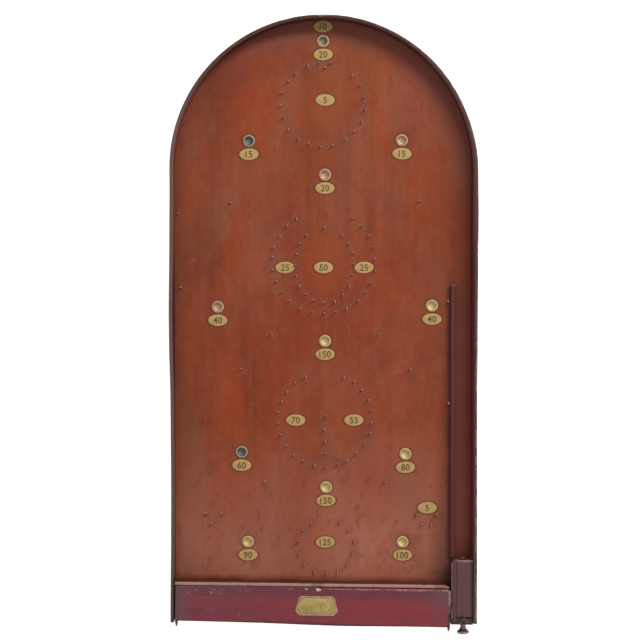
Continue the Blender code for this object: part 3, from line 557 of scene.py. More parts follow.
def field_use(coat):
    """Marks of use on the field: bright stain inside the rings, dust by pins, grime by cups, and grime with
    painted shade by tags.
    """
    patches = ("noise", (26.0, 3.0, 0.6), 0.3, 0.7, 0.5, 1.2)
    speckle = ("noise", (190.0, 3.0, 0.65), 0.34, 0.66, 0.35, 1.25)
    for ring, share in RING_STAINS.items():
        middle, half = middle_and_half(ring)
        gap = coat.nearest([middle.xy], half.x, half.y)
        coat.lay((154, 68, 28), coat.between(gap, 0.55, 0.9, share, 0.0), patches)
    to_pin = coat.nearest([top.xy for node in PIN_NODES for top in pin_tops(node)], MM, MM)
    coat.lay((138, 79, 62), coat.between(to_pin, 1.5, 9.0, 0.62, 0.0), speckle)
    coat.lay((88, 44, 32), coat.between(to_pin, 1.0, 3.8, 0.25, 0.0), patches)
    # Grime round the cups, and grime with painted shade round the tags.
    for prefix, sample, reach, strength, tone in FIELD_GRIME_AND_SHADE:
        half = middle_and_half(sample)[1]
        gap = coat.nearest([middle_and_half(name)[0].xy for name in names_from(prefix)], half.x, half.y)
        coat.lay(tone, coat.between(gap, 1.0, reach, strength, 0.0), patches)


def field_edges(coat):
    """Painted shade, painted light and some dirt along the field's edges: by the rim, the rail, the divider
    and the lane.
    """
    along = coat.axis("Y")
    across = coat.axis("X")
    beyond = coat.math("MAXIMUM", coat.math("SUBTRACT", along, ARCH_Y), 0.0)
    square = coat.math("ADD", coat.times(across, across), coat.times(beyond, beyond))
    to_rim = coat.math("SUBTRACT", HALF_WIDTH - RIM_THICKNESS, coat.math("SQRT", square))
    patches = ("noise", (26.0, 3.0, 0.6), 0.3, 0.7, 0.6, 1.2)
    # Dirt and painted shade at the foot of the rim.
    coat.lay((98, 46, 34), coat.between(to_rim, 0.0, 0.008, 0.3, 0.0), patches)
    # Darker towards the rim, on the left and towards the player's end.
    low_left = coat.times(("Y", -0.24, -0.29), ("X", -0.05, -0.10))
    reach = coat.math("MAXIMUM", ("Y", -0.18, -0.10), low_left)
    sides = coat.math("MAXIMUM", ("X", 0.0, -0.05), ("Y", 0.24, 0.16))
    coat.lay((80, 36, 24), coat.between(to_rim, 0.0, 0.065, 0.3, 0.0), reach, sides)
    # Painted tint of the rim's shadow under the arch: lighter and cooler where the shadow falls.
    arch_shadow_tint = coat.times(("Y", 0.14, 0.22), ("X", -0.14, -0.06))
    coat.lay((138, 74, 62), arch_shadow_tint, coat.between(to_rim, 0.034, 0.012, 0.0, 0.7))
    # Dirt and painted shade at the foot of the inner rail.
    rail_turn = coat.times(across, math.tan(RAIL_TURN))
    rail_line = coat.math("ADD", rail_turn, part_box("inner_rail")[1].y - 2 * MM)
    to_rail = coat.math("SUBTRACT", along, rail_line)
    coat.lay((92, 32, 16), coat.between(to_rail, 0.0, 0.007, 0.85, 0.0), patches)
    low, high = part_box("lane_divider")
    to_lane = coat.math("SUBTRACT", low.x, across)
    # Painted shadow of the divider and the rim on the field left of the divider, widening towards the
    # player's end.
    divider_shadow_width = ("Y", 0.02, -0.24, 0.006, 0.028)
    divider_shadow = coat.between(coat.math("DIVIDE", to_lane, divider_shadow_width), 0.0, 1.0, 0.78, 0.0)
    coat.lay((76, 38, 32), divider_shadow, patches, ("Y", high.y + 30 * MM, high.y - 30 * MM))
    # Painted light: the lane's floor is made paler against the rim's shadow that covers it.
    in_lane = ("X", high.x - 1 * MM, high.x, 0.0, 0.5)
    coat.lay((152, 72, 56), in_lane, ("Y", high.y + 60 * MM, high.y - 50 * MM))
    # Painted shade in the lane before the plunger's cover.
    cover_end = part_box("plunger_cover")[1].y
    coat.lay((40, 22, 18), in_lane, ("Y", cover_end + 26 * MM, cover_end + 2 * MM, 0.0, 0.75))
    # Painted shadow of the plunger housing's wall on the field beside it.
    corner = coat.times(coat.between(to_lane, 0.0, 0.045, 0.55, 0.0), ("Y", -0.25, -0.29))
    coat.lay((82, 52, 38), corner, coat.between(to_lane, -0.001, 0.0))


def playfield_material():
    """Mahogany veneer on top, dry pale ply on the underside and the edges."""
    coat = Coat("playfield_mahogany", gloss=FIELD_GLOSS)
    streak = coat.noise(1.0, 5.0, 0.62, (46, 2.6, 46), 0.35)
    coat.tint = coat.ramp(streak, (0.30, 0.5, 0.70), ((117, 51, 25), (139, 62, 30), (155, 73, 38)))
    wide = coat.noise(1.0, 3.0, 0.55, (11, 1.6, 11), 0.2)
    coat.lay((150, 66, 26), coat.between(wide, 0.42, 0.62, 0.0, 0.5))
    arch = coat.times(("Y", 0.13, 0.24), ("X", -0.11, 0.0))
    coat.lay((150, 80, 40), arch, coat.between(wide, 0.40, 0.58, 0.15, 0.6))
    fine = coat.noise(1.0, 3.0, 0.65, (420, 16, 420))
    coat.shade(coat.between(fine, 0.3, 0.7, 0.93, 1.06))
    pores = ("noise", (1.0, 1.0, 0.5, (1500, 110, 1500)), 0.62, 0.74, 0.0, 0.25)
    coat.lay((98, 42, 24), pores)
    cloud = coat.noise(8.0, 4.0, 0.62, (1.5, 0.6, 1.0))
    coat.lay((148, 60, 24), coat.between(cloud, 0.52, 0.40, 0.0, 0.75))
    coat.lay((140, 77, 50), coat.between(cloud, 0.50, 0.62, 0.0, 0.62))
    coat.lay((142, 60, 28), coat.oval(85, -30, 100, 170, 0.5, 0.6))
    foot = coat.times(("Y", -0.12, -0.28, 0.0, 0.95), coat.between(cloud, 0.3, 0.6, 0.5, 1.0))
    coat.lay((165, 102, 82), foot, ("X", 0.05, 0.14, 1.0, 0.75))
    coat.lay((146, 88, 66), coat.oval(115, 280, 55, 70, 0.4, 0.35))
    mottle = coat.noise(75.0, 4.0, 0.7, (1.6, 0.8, 1.0))
    coat.lay((142, 82, 60), coat.between(mottle, 0.52, 0.68, 0.0, 0.45))
    coat.lay((126, 50, 22), coat.between(mottle, 0.46, 0.34, 0.0, 0.45))
    coat.lay((116, 53, 34), ("noise", (20.0, 3.0, 0.6), 0.56, 0.72, 0.0, 0.5))
    coat.shade(("noise", (13.0, 2.0, 0.5, (1.3, 0.7, 1.0)), 0.36, 0.64, 0.91, 1.07))
    coat.lay((168, 112, 92), ("noise", (330.0, 2.0, 0.5), 0.70, 0.77, 0.0, 0.4))
    field_use(coat)
    field_edges(coat)
    ply = coat.ramp(streak, (0.3, 0.55, 0.75), ((134, 98, 66), (158, 120, 84), (174, 138, 100)))
    coat.lay(ply, ("Z", FIELD_TOP - 0.7 * MM, FIELD_TOP - 0.9 * MM))
    height = coat.math("SUBTRACT", coat.times(fine, 0.4), pores)
    return coat.finish(coat.between(cloud, 0.3, 0.7, 0.36, 0.56), height, *FIELD_BUMP)


# Metals and paints

def metal(name, tones, tarnish, metallic, rough=(0.4, 0.6), scale=220.0, gloss=0.5):
    """Aged metal: cloudy tarnish, fine scratches and uneven gloss."""
    coat = Coat(name, metallic=metallic, gloss=gloss)
    cloud = coat.noise(scale, 4.0, 0.65)
    coat.tint = coat.ramp(cloud, (0.3, 0.55, 0.75), tones)
    coat.lay(tarnish, ("noise", (scale * 2.3, 3.0, 0.6), 0.56, 0.7, 0.0, 0.7))
    scratches = coat.noise(scale * 6, 2.0, 0.5)
    return coat.finish(coat.between(cloud, 0.3, 0.7, *rough), scratches, *METAL_BUMP)


def paint(name, tone, edge, rough=0.6):
    """Dull ink or stain, a little uneven."""
    coat = Coat(name, rough)
    coat.tint = coat.ramp(coat.noise(900.0, 3.0, 0.6), (0.35, 0.7), (tone, edge))
    return coat.finish()


DULL = (0.45, 0.65)
BRASS = metal(
    "cup_brass", ((178, 146, 100), (204, 174, 124), (224, 198, 150)), (150, 118, 78), 0.3, gloss=0.25,
)
PINK_BRASS = metal(
    "cup_brass_coppery", ((166, 128, 104), (194, 158, 132), (214, 182, 156)), (140, 100, 80), 0.3,
)
GREY_BRASS = metal("cup_brass_grey", ((136, 122, 108), (164, 148, 132), (184, 170, 152)), (108, 94, 82), 0.3)
CUP_FLOOR = metal(
    "cup_floor_brass", ((208, 188, 126), (230, 214, 156), (242, 230, 184)), (164, 136, 78), 0.15,
)
PINK_FLOOR = metal(
    "cup_floor_coppery", ((194, 158, 124), (216, 182, 146), (230, 200, 166)), (160, 118, 88), 0.2,
)
DARK_BRASS = metal("cup_floor_dark", ((96, 98, 88), (124, 126, 114), (142, 144, 132)), (72, 70, 62), 0.25)
PIN_BRASS = metal(
    "pin_brass", ((164, 106, 84), (192, 132, 108), (210, 154, 130)), (140, 88, 68), 0.0,
    (0.6, 0.8), gloss=0.1,
)
GILT = metal("tag_gilt", ((178, 143, 84), (191, 156, 95), (203, 166, 110)), (164, 134, 66), 0.2, DULL, 140.0)
PLATE_GILT = metal(
    "plate_gilt", ((152, 130, 72), (182, 160, 90), (196, 175, 108)), (126, 104, 54), 0.2, DULL, 110.0,
)
PLATE_EDGE = metal(
    "plate_edge", ((150, 118, 90), (182, 150, 120), (202, 174, 146)), (136, 98, 82), 0.2, DULL, 130.0,
)
STEEL = metal(
    "dull_steel", ((112, 108, 104), (150, 146, 140), (180, 176, 168)), (96, 80, 68), 1.0, (0.3, 0.5),
)
ROD_STEEL = metal(
    "rod_dull_steel", ((124, 92, 84), (152, 116, 108), (172, 138, 128)), (84, 58, 50), 0.3, DULL,
)
INK = paint("tag_ink", (70, 59, 26), (98, 84, 42))
# Dark stain round the pins and the cups, also dirt with painted shade round the tags.
STAIN_AND_SHADE = paint("stain_and_painted_shade", (112, 58, 42), (128, 70, 52), 0.7)
SCUFF = paint("pale_scuff", (178, 128, 108), (154, 96, 76), 0.7)

# Lip and floor of the cups that aren't plain brass
CUP_FINISHES = {
    "cup_15_left": (GREY_BRASS, DARK_BRASS),
    "cup_60": (GREY_BRASS, DARK_BRASS),
    "cup_20_top": (BRASS, GREY_BRASS),
    "cup_15_right": (PINK_BRASS, PINK_FLOOR),
    "cup_20_centre": (PINK_BRASS, PINK_FLOOR),
    "cup_40_left": (PINK_BRASS, PINK_FLOOR),
}


# Mesh helpers

def clamp(value, low=0.0):
    return min(1.0, max(low, value))


def add_object(name, data, materials, place=None):
    made = bpy.data.objects.new(name, data)
    for material in materials:
        data.materials.append(material)
    bpy.context.scene.collection.objects.link(made)
    if place is not None:
        made.matrix_world = place
    return made


def finish_piece(made, body, slot, *nodes):
    """The piece moves with a body and stands for frame nodes, which are hidden; slot is not used."""
    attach(made, body)
    if nodes:
        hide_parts(*nodes)


def add_piece(name, shape, materials, body, slot, *nodes, place=None, smooth=40):
    """A piece of a bmesh, smooth below an angle."""
    finish_piece(add_object(name, mesh_of(shape, name, smooth), materials, place), body, slot, *nodes)


def mesh_of(shape, name, smooth):
    bmesh.ops.recalc_face_normals(shape, faces=shape.faces)
    data = bpy.data.meshes.new(name)
    shape.to_mesh(data)
    shape.free()
    data.shade_smooth()
    data.set_sharp_from_angle(angle=math.radians(smooth))
    return data


def skin(shape, rings):
    """Faces from each ring of vertices to the next, where a ring of one vertex is a tip."""
    faces = []
    for first, second in zip(rings, rings[1:]):
        count = max(len(first), len(second))
        for step in range(count):
            following = (step + 1) % count
            corners = [first[step % len(first)], first[following % len(first)]]
            corners += [second[following % len(second)], second[step % len(second)]]
            faces.append(shape.faces.new(list(dict.fromkeys(corners))))
    return faces


def cap(shape, rings):
    """Faces over the first and the last ring."""
    shape.faces.new(rings[0])
    return shape.faces.new(rings[-1])


def lathe(profile, segments, axis="Z"):
    """Turned bmesh from (radius, height) points; ends on the axis close the shape."""
    shape = bmesh.new()
    rings = []
    for radius, height in profile:
        ring = []
        for step in range(1 if radius == 0 else segments):
            angle = 2 * math.pi * step / segments
            across = radius * math.cos(angle)
            up = radius * math.sin(angle)
            ring.append(shape.verts.new((across, up, height) if axis == "Z" else (across, height, up)))
        rings.append(ring)
    skin(shape, rings)
    return shape


def close_ring(shape):
    """Join the first and last ring of a lathe whose profile is a loop."""
    bmesh.ops.remove_doubles(shape, verts=shape.verts, dist=1e-9)
    edges = [edge for edge in shape.edges if len(edge.link_faces) == 1]
    if edges:
        bmesh.ops.bridge_loops(shape, edges=edges)


def join_into(shape, other, material_index):
    """Copy a bmesh into another with one material index, and free it."""
    matched = {}
    for vert in other.verts:
        matched[vert] = shape.verts.new(vert.co)
    for face in other.faces:
        made = shape.faces.new([matched[vert] for vert in face.verts])
        made.material_index = material_index
    other.free()


def round_corner(centre, radius, start, end, steps):
    points = []
    for step in range(steps + 1):
        angle = math.radians(start + (end - start) * step / steps)
        points.append((centre[0] + radius * math.cos(angle), centre[1] + radius * math.sin(angle)))
    return points


def tube(name, points, radius, material, resolution):
    curve = bpy.data.curves.new(name, "CURVE")
    curve.dimensions = "3D"
    curve.bevel_depth = radius
    curve.bevel_resolution = resolution
    curve.use_fill_caps = True
    line = curve.splines.new("POLY")
    line.points.add(len(points) - 1)
    for knot, point in zip(line.points, points):
        knot.co = (*point, 1)
    line.use_smooth = True
    return add_object(name, curve, [material])


def evaluated_mesh(holder):
    """Plain mesh of a curve or text object, which is removed."""
    data = bpy.data.meshes.new_from_object(holder.evaluated_get(bpy.context.evaluated_depsgraph_get()))
    bpy.data.objects.remove(holder)
    return data


# Weathered wooden pieces

def node_shape(node, place):
    """The node's solid as a bmesh in the axes of a place, with its flat faces whole again."""
    shape = bmesh.new()
    shape.from_mesh(frame["nodes"][node].data)
    shape.transform(place.inverted())
    bmesh.ops.remove_doubles(shape, verts=shape.verts, dist=0.02 * MM)
    bmesh.ops.dissolve_limit(shape, angle_limit=math.radians(1), verts=shape.verts, edges=shape.edges)
    return shape


def sharp_edges(shape):
    found = []
    for edge in shape.edges:
        if len(edge.link_faces) == 2 and edge.calc_length() > SHORTEST_EDGE:
            if edge.calc_face_angle() > SHARP_ANGLE:
                found.append(edge)
    return found


def slice_up(shape, cell):
    """Cut the shape by planes across its axes, so that its surface has points to nick and mark."""
    corners = [vert.co.copy() for vert in shape.verts]
    for axis in range(3):
        low = min(corner[axis] for corner in corners)
        high = max(corner[axis] for corner in corners)
        count = max(int((high - low) / cell), min(FEWEST_SLICES, int((high - low) / NARROWEST_SLICE)))
        normal = Vector((0, 0, 0))
        normal[axis] = 1
        for step in range(1, count):
            point = Vector((0, 0, 0))
            point[axis] = low + (high - low) * step / count
            parts = shape.verts[:] + shape.edges[:] + shape.faces[:]
            bmesh.ops.bisect_plane(shape, geom=parts, plane_co=point, plane_no=normal, dist=0.01 * MM)


def distance_to(point, segment):
    start, end = segment
    along = end - start
    share = clamp((point - start).dot(along) / along.length_squared)
    return (point - start - along * share).length


def weathered(node, piece, material, body, slot, place=IN_PLACE, rounding=0.4, cell=4, reach=1.2, nick=0.6,
              seed=1, worn_top=0.0, warp=None, kept=None):
    """A wooden piece from a node's solid: rounded and nicked edges, with its wear as an attribute.

    The rounding of the edges, the cell of the slices, the reach of the wear and the depth of the nicks are in
    mm. worn_top is the wear of the top, warp moves a point of the sliced solid, and kept is the share of
    wear at a point.
    """
    shape = node_shape(node, place)
    edges = sharp_edges(shape)
    segments = [(edge.verts[0].co.copy(), edge.verts[1].co.copy()) for edge in edges]
    bmesh.ops.bevel(
        shape, geom=edges, offset=rounding * MM, segments=2, profile=0.6, affect="EDGES", clamp_overlap=True
    )
    slice_up(shape, cell * MM)
    shape.normal_update()
    wear_layer = shape.verts.layers.float.new("wear")
    top = max(vert.co.z for vert in shape.verts)
    shift = Vector((seed * 1.37, seed * 0.71, seed * 2.03))
    for vert in shape.verts:
        near = min(distance_to(vert.co, segment) for segment in segments)
        edge_share = max(0.0, 1.0 - near / (reach * MM))
        rubbed = 0.5 + 0.5 * noise.noise(vert.co * 45 + shift)
        wear = edge_share * (0.35 + 0.9 * rubbed)
        if worn_top and vert.normal.z > 0.5 and top - vert.co.z < 1.5 * MM:
            wear = max(wear, worn_top * (0.55 + 0.6 * rubbed))
        dent = max(0.0, noise.noise(vert.co * 130 + shift) - 0.15) * edge_share
        vert.co -= vert.normal * dent * nick * MM
        if kept is not None:
            wear *= kept(vert.co)
        vert[wear_layer] = wear
    if warp is not None:
        for vert in shape.verts:
            vert.co = warp(vert.co)
    add_piece(piece, shape, [material], body, slot, node, place=place)


# Rim

def rim_path():
    """Places along the rim's middle line with the way out of the board at each."""
    verts = frame["nodes"]["rim_band"].data.vertices
    left_end = min(vert.co.y for vert in verts if vert.co.x < 0)
    right_end = min(vert.co.y for vert in verts if vert.co.x > 0)
    middle = HALF_WIDTH - RIM_THICKNESS / 2
    leg_steps = int((ARCH_Y - left_end) / RIM_STEP)
    arch_steps = int(math.pi * middle / RIM_STEP)
    path = []
    for step in range(leg_steps):
        along = left_end + (ARCH_Y - left_end) * step / leg_steps
        path.append((Vector((-middle, along, 0)), Vector((-1, 0, 0))))
    for step in range(arch_steps + 1):
        angle = math.pi - math.pi * step / arch_steps
        outward = Vector((math.cos(angle), math.sin(angle), 0))
        path.append((Vector((0, ARCH_Y, 0)) + outward * middle, outward))
    for step in range(1, leg_steps + 1):
        along = ARCH_Y + (right_end - ARCH_Y) * step / leg_steps
        path.append((Vector((middle, along, 0)), Vector((1, 0, 0))))
    return path


def rim_lean(place):
    """How far the rim's top stands outwards of its foot at a place."""
    leans = LEFT_LEANS if place.x < 0 else RIGHT_LEANS
    along = place.y / MM
    last, lean = leans[-1]
    if along > last:
        return lean * MM * max(0.0, 1 - (along - last) / RIM_LEAN_FADE)
    for (start, first), (end, second) in zip(leans, leans[1:]):
        if along <= end:
            return (first + (second - first) * (along - start) / (end - start)) * MM
    return lean * MM


def rim_wear(offset, height, point):
    """Share of stain rubbed off the rim: a pale outer fringe, broad on the right and thin on the left."""
    rubbed = 0.5 + 0.5 * noise.noise(point * 30)
    broad = clamp(0.75 + point.x / HALF_WIDTH)
    lower = clamp((100 * MM - point.y) / (200 * MM)) * max(0.0, point.x / HALF_WIDTH)
    inset = RIM_THICKNESS / 2 - offset
    fringe = max(0.0, 1 - inset / ((0.9 + 1.5 * broad + 1.8 * lower) * MM))
    wear = max(0.0, 1 - (RIM_HIGH.z - height) / (2.2 * MM)) * fringe * (0.35 + 0.9 * rubbed)
    foot = max(0.0, 1 - height / (3.0 * MM)) * (0.3 + 0.6 * rubbed)
    scuff = noise.noise(point * 24 + Vector((3, 1, 5))) - 0.48
    return max(wear, foot, scuff * 1.5)


def make_rim():
    """Bent-ply band with a rubbed and nicked top edge that leans a little here and there."""
    half = RIM_THICKNESS / 2
    top = RIM_HIGH.z
    corner = RIM_ROUND
    section = [(-half + 0.5 * MM, 0), (-half, 0.5 * MM)]
    section += [(-half, height * MM) for height in (8, 16, 24, 34, 44, 49)]
    inner_rows = len(section)
    section += round_corner((-half + corner, top - corner), corner, 180, 90, 3)
    section += [(across * MM, top) for across in (-0.8, 0, 0.6)]
    section += round_corner((half - corner, top - corner), corner, 90, 0, 3)
    section += [(half, height * MM) for height in (49, 44, 34, 24, 12, 4)]
    section += [(half, 0.5 * MM), (half - 0.5 * MM, 0)]
    shape = bmesh.new()
    wear_layer = shape.verts.layers.float.new("wear")
    rows = []
    for place, outward in rim_path():
        row = []
        nick = max(0.0, noise.noise(place * 95) - 0.28) + max(0.0, noise.noise(place * 260) - 0.35)
        for offset, height in section:
            rise = max(0.0, (height - FIELD_TOP) / (top - FIELD_TOP))
            point = place + outward * (offset + rise * rim_lean(place)) + Vector((0, 0, height))
            wear = rim_wear(offset, height, point)
            if top - height < 2 * MM:
                point.z -= nick * 1.4 * MM
                point -= outward * math.copysign(nick * 0.4 * MM, offset)
                wear += 0.7 * nick
            vert = shape.verts.new(point)
            vert[wear_layer] = min(1.3, wear)
            row.append(vert)
        rows.append(row)
    for index, face in enumerate(skin(shape, rows)):
        face.material_index = 1 if index % len(section) < inner_rows else 0
    cap(shape, rows)
    woods = [RIM_WOOD, RIM_INSIDE_WOOD]
    add_piece("rim_bent_band", shape, woods, "board", "rim_ply", "rim_band", smooth=50)


# Playfield and pins

def make_playfield():
    data = frame["nodes"]["playfield"].data
    data.materials.clear()
    data.materials.append(playfield_material())


def make_pins():
    """Round nails, each leaning a little, with a dark stain where they enter the veneer."""
    draw = random.Random(11)
    pocket = sorted(pin_tops("pins_field_left"), key=lambda top: top.y)[:3]
    bent = [top.xy for top in pocket[1:]]
    radius = PIN_RADIUS
    below = FIELD_BOTTOM - FIELD_TOP - 1.2 * MM
    for node in PIN_NODES:
        shape = bmesh.new()
        for top in pin_tops(node):
            height = top.z - FIELD_TOP - draw.uniform(0.0, 0.7) * MM
            profile = [(0, below), (0.35 * radius, below + 0.3 * MM), (radius, below + 1.6 * MM)]
            profile += [(radius, height - radius * 0.5), (radius * 0.9, height - radius * 0.2)]
            profile += [(radius * 0.6, height - radius * 0.05), (0, height)]
            nail = lathe(profile, 10)
            turn = draw.uniform(0, 2 * math.pi)
            lean = Matrix.Rotation(draw.uniform(0.1, 1.0) * PIN_LEAN, 4, (math.cos(turn), math.sin(turn), 0))
            if min((top.xy - spot).length for spot in bent) < 4 * MM:
                lean = Matrix.Rotation(-BENT_PIN_LEAN, 4, "X")
            nail.transform(Matrix.Translation((top.x, top.y, FIELD_TOP)) @ lean)
            join_into(shape, nail, 0)
            for level, side in ((FIELD_TOP, 1), (FIELD_BOTTOM, -1)):
                ring = PIN_STAIN_RADIUS * draw.uniform(0.8, 1.15)
                drop = side * 0.12 * MM
                outline = [(0.5 * radius, drop), (ring * 0.8, drop * 0.8), (ring, 0), (0.5 * radius, 0)]
                collar = lathe(outline, 12)
                stretch = Matrix.Diagonal((1.0, draw.uniform(0.85, 1.2), 1.0, 1.0))
                collar.transform(Matrix.Translation((top.x, top.y, level + side * 0.02 * MM)) @ stretch)
                close_ring(collar)
                join_into(shape, collar, 1)
        add_piece("nails_" + node, shape, [PIN_BRASS, STAIN_AND_SHADE], "board", "brass", node)


# Cups and tags

def make_cups():
    """Spun brass cups with a rolled lip, a flat floor and a nail in the middle."""
    bore = CUP_BORE
    head = CUP_NAIL_RADIUS
    for node in names_from("cup_"):
        low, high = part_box(node)
        centre, half = middle_and_half(node)
        flange = half.x
        depth = low.z - FIELD_TOP
        lip = high.z - FIELD_TOP
        floor = depth + 0.6 * MM
        profile = [(0, depth), (bore + 0.5 * MM, depth), (bore + 0.55 * MM, 0.25 * MM)]
        profile += [(flange - 0.3 * MM, 0.25 * MM), (flange, 0.45 * MM), (flange - 0.15 * MM, 0.7 * MM)]
        profile += [(flange - 0.7 * MM, lip), (bore + 1.0 * MM, lip + 0.12 * MM), (bore + 0.4 * MM, lip)]
        profile += [(bore + 0.05 * MM, lip - 0.35 * MM), (bore - 0.05 * MM, lip - 1.2 * MM)]
        profile += [(bore - 0.15 * MM, floor + 1.0 * MM), (bore - 0.6 * MM, floor + 0.3 * MM)]
        profile += [(bore - 1.4 * MM, floor), (0, floor)]
        shape = lathe(profile, 40)
        lip_finish, floor_finish = CUP_FINISHES.get(node, (BRASS, CUP_FLOOR))
        for face in shape.faces:
            middle = face.calc_center_median()
            if middle.xy.length < bore - 0.1 * MM and middle.z < lip - 1.5 * MM:
                face.material_index = 1
        dome = [(0, floor), (head, floor), (head, floor + 0.25 * MM)]
        dome += [(head * 0.85, floor + 0.6 * MM), (head * 0.5, floor + 0.95 * MM), (0, floor + 1.1 * MM)]
        if floor_finish is not DARK_BRASS:
            join_into(shape, lathe(dome, 16), 1)
        inner = bore + 0.7 * MM
        outer = flange + 0.8 * MM
        dirt = lathe([(inner, 0), (outer, 0), (outer - 0.3 * MM, 0.06 * MM), (inner, 0.06 * MM)], 40)
        close_ring(dirt)
        join_into(shape, dirt, 2)
        place = Matrix.Translation((centre.x, centre.y, FIELD_TOP))
        finishes = [lip_finish, floor_finish, STAIN_AND_SHADE]
        add_piece("spun_" + node, shape, finishes, "board", "brass", node, place=place, smooth=50)


def number_shape(text):
    """Thin raised numerals as a bmesh, centred on the origin."""
    curve = bpy.data.curves.new("numerals", "FONT")
    curve.body = text
    curve.size = NUMERAL_SIZE
    curve.align_x = "CENTER"
    curve.align_y = "CENTER"
    curve.space_character = 1.05
    curve.extrude = 0.03 * MM
    curve.offset = NUMERAL_WEIGHT
    curve.resolution_u = 4
    holder = add_object("numerals", curve, [])
    bpy.context.view_layer.update()
    data = evaluated_mesh(holder)
    bpy.data.curves.remove(curve)
    shape = bmesh.new()
    shape.from_mesh(data)
    bpy.data.meshes.remove(data)
    bmesh.ops.remove_doubles(shape, verts=shape.verts, dist=0.001 * MM)
    across = [vert.co.x for vert in shape.verts]
    along = [vert.co.y for vert in shape.verts]
    middle = ((min(across) + max(across)) / 2, (min(along) + max(along)) / 2)
    bmesh.ops.translate(shape, verts=shape.verts, vec=(-middle[0], -middle[1], 0))
    return shape


def oval_ring(shape, half_width, half_height, level):
    ring = []
    for step in range(TAG_POINTS):
        angle = 2 * math.pi * step / TAG_POINTS
        ring.append(shape.verts.new((half_width * math.cos(angle), half_height * math.sin(angle), level)))
    return ring


def oval_dirt_and_shade(half_width, half_height, level):
    """Thin dark rim on the field round a tag: dirt with painted shade at its edge."""
    shape = bmesh.new()
    rings = []
    for share, rise in ((0.9, 0.0), (1.0, 0.0), (0.98, 0.05), (0.9, 0.05)):
        rings.append(oval_ring(shape, share * half_width, share * half_height, level + (0.01 + rise) * MM))
    skin(shape, rings + rings[:1])
    return shape


def make_tags():
    """Pressed oval plates with a soft edge, dark numerals, and dirt with painted shade round them."""
    draw = random.Random(5)
    for node in names_from("tag_"):
        low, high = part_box(node)
        centre, half = middle_and_half(node)
        thick = high.z - low.z
        shape = bmesh.new()
        rings = []
        for share, level in ((0.985, 0), (1.0, 0.3), (0.985, 0.7), (0.95, 0.95), (0.90, 1.0), (0.5, 1.08)):
            inset = (1 - share) * half.y
            rings.append(oval_ring(shape, half.x - inset, half.y - inset, level * thick))
        skin(shape, rings)
        cap(shape, rings)
        numerals = number_shape(node.split("_")[1])
        bmesh.ops.scale(numerals, verts=numerals.verts, vec=(NUMERAL_NARROWING, 1, 1))
        bmesh.ops.translate(numerals, verts=numerals.verts, vec=(0, 0, 1.06 * thick))
        join_into(shape, numerals, 1)
        join_into(shape, oval_dirt_and_shade(half.x + 0.7 * MM, half.y + 0.7 * MM, FIELD_TOP - low.z), 2)
        turn = Matrix.Rotation(math.radians(draw.uniform(-2.0, 2.0)), 4, "Z")
        place = Matrix.Translation((centre.x, centre.y, low.z)) @ turn
        add_piece("plate_" + node, shape, [GILT, INK, STAIN_AND_SHADE], "board", "gilt", node, place=place)


# Small marks of use

def make_marks():
    """Scratches and dings on the field, and two bent nails beside the lane divider."""
    draw = random.Random(23)
    shape = bmesh.new()
    for start, end in FIELD_SCRATCHES:
        add_scratch(shape, Vector(start) * MM, Vector(end) * MM)
    spots = list(FIELD_DINGS)
    spots += [(draw.uniform(-165, 150), draw.uniform(-300, 330)) for _ in range(STRAY_DINGS)]
    for across, along in spots:
        size = draw.uniform(0.35, 0.85) * MM
        if Vector((across, max(0.0, along - ARCH_Y / MM))).length > 175:
            continue
        ding = lathe([(0, 0), (size, 0), (size * 0.7, 0.04 * MM), (0, 0.05 * MM)], 9)
        ding.transform(Matrix.Translation((across * MM, along * MM, FIELD_TOP + 0.02 * MM)))
        join_into(shape, ding, 0)
    add_piece("field_scuffs", shape, [SCUFF], "board", "mahogany")

    nails = bmesh.new()
    outline = ((0, -3), (0.7, -2), (0.7, 5), (1.5, 5.1), (1.4, 5.5), (0.8, 5.9), (0, 6))
    for across, along, lean in DIVIDER_NAILS:
        nail = lathe([(radius * MM, height * MM) for radius, height in outline], 12)
        tilt = Matrix.Rotation(math.radians(lean), 4, "X")
        nail.transform(Matrix.Translation((across * MM, along * MM, FIELD_TOP)) @ tilt)
        join_into(nails, nail, 0)
    add_piece("divider_nails", nails, [PIN_BRASS], "board", "brass")


def add_scratch(shape, start, end):
    """Thin closed ribbon just over the field, tapered to both ends."""
    along = (end - start).normalized()
    side = Vector((-along.y, along.x)) * SCRATCH_WIDTH / 2
    rows = []
    for step in range(SCRATCH_STEPS + 1):
        share = step / SCRATCH_STEPS
        middle = start.lerp(end, share)
        reach = side * max(0.15, math.sin(math.pi * share))
        row = []
        for sign, rise in ((1, 0.01), (-1, 0.01), (-1, 0.04), (1, 0.04)):
            row.append(shape.verts.new((*(middle + reach * sign), FIELD_TOP + rise * MM)))
        rows.append(row)
    skin(shape, rows)
    cap(shape, rows)


# Lane, ball box and lid

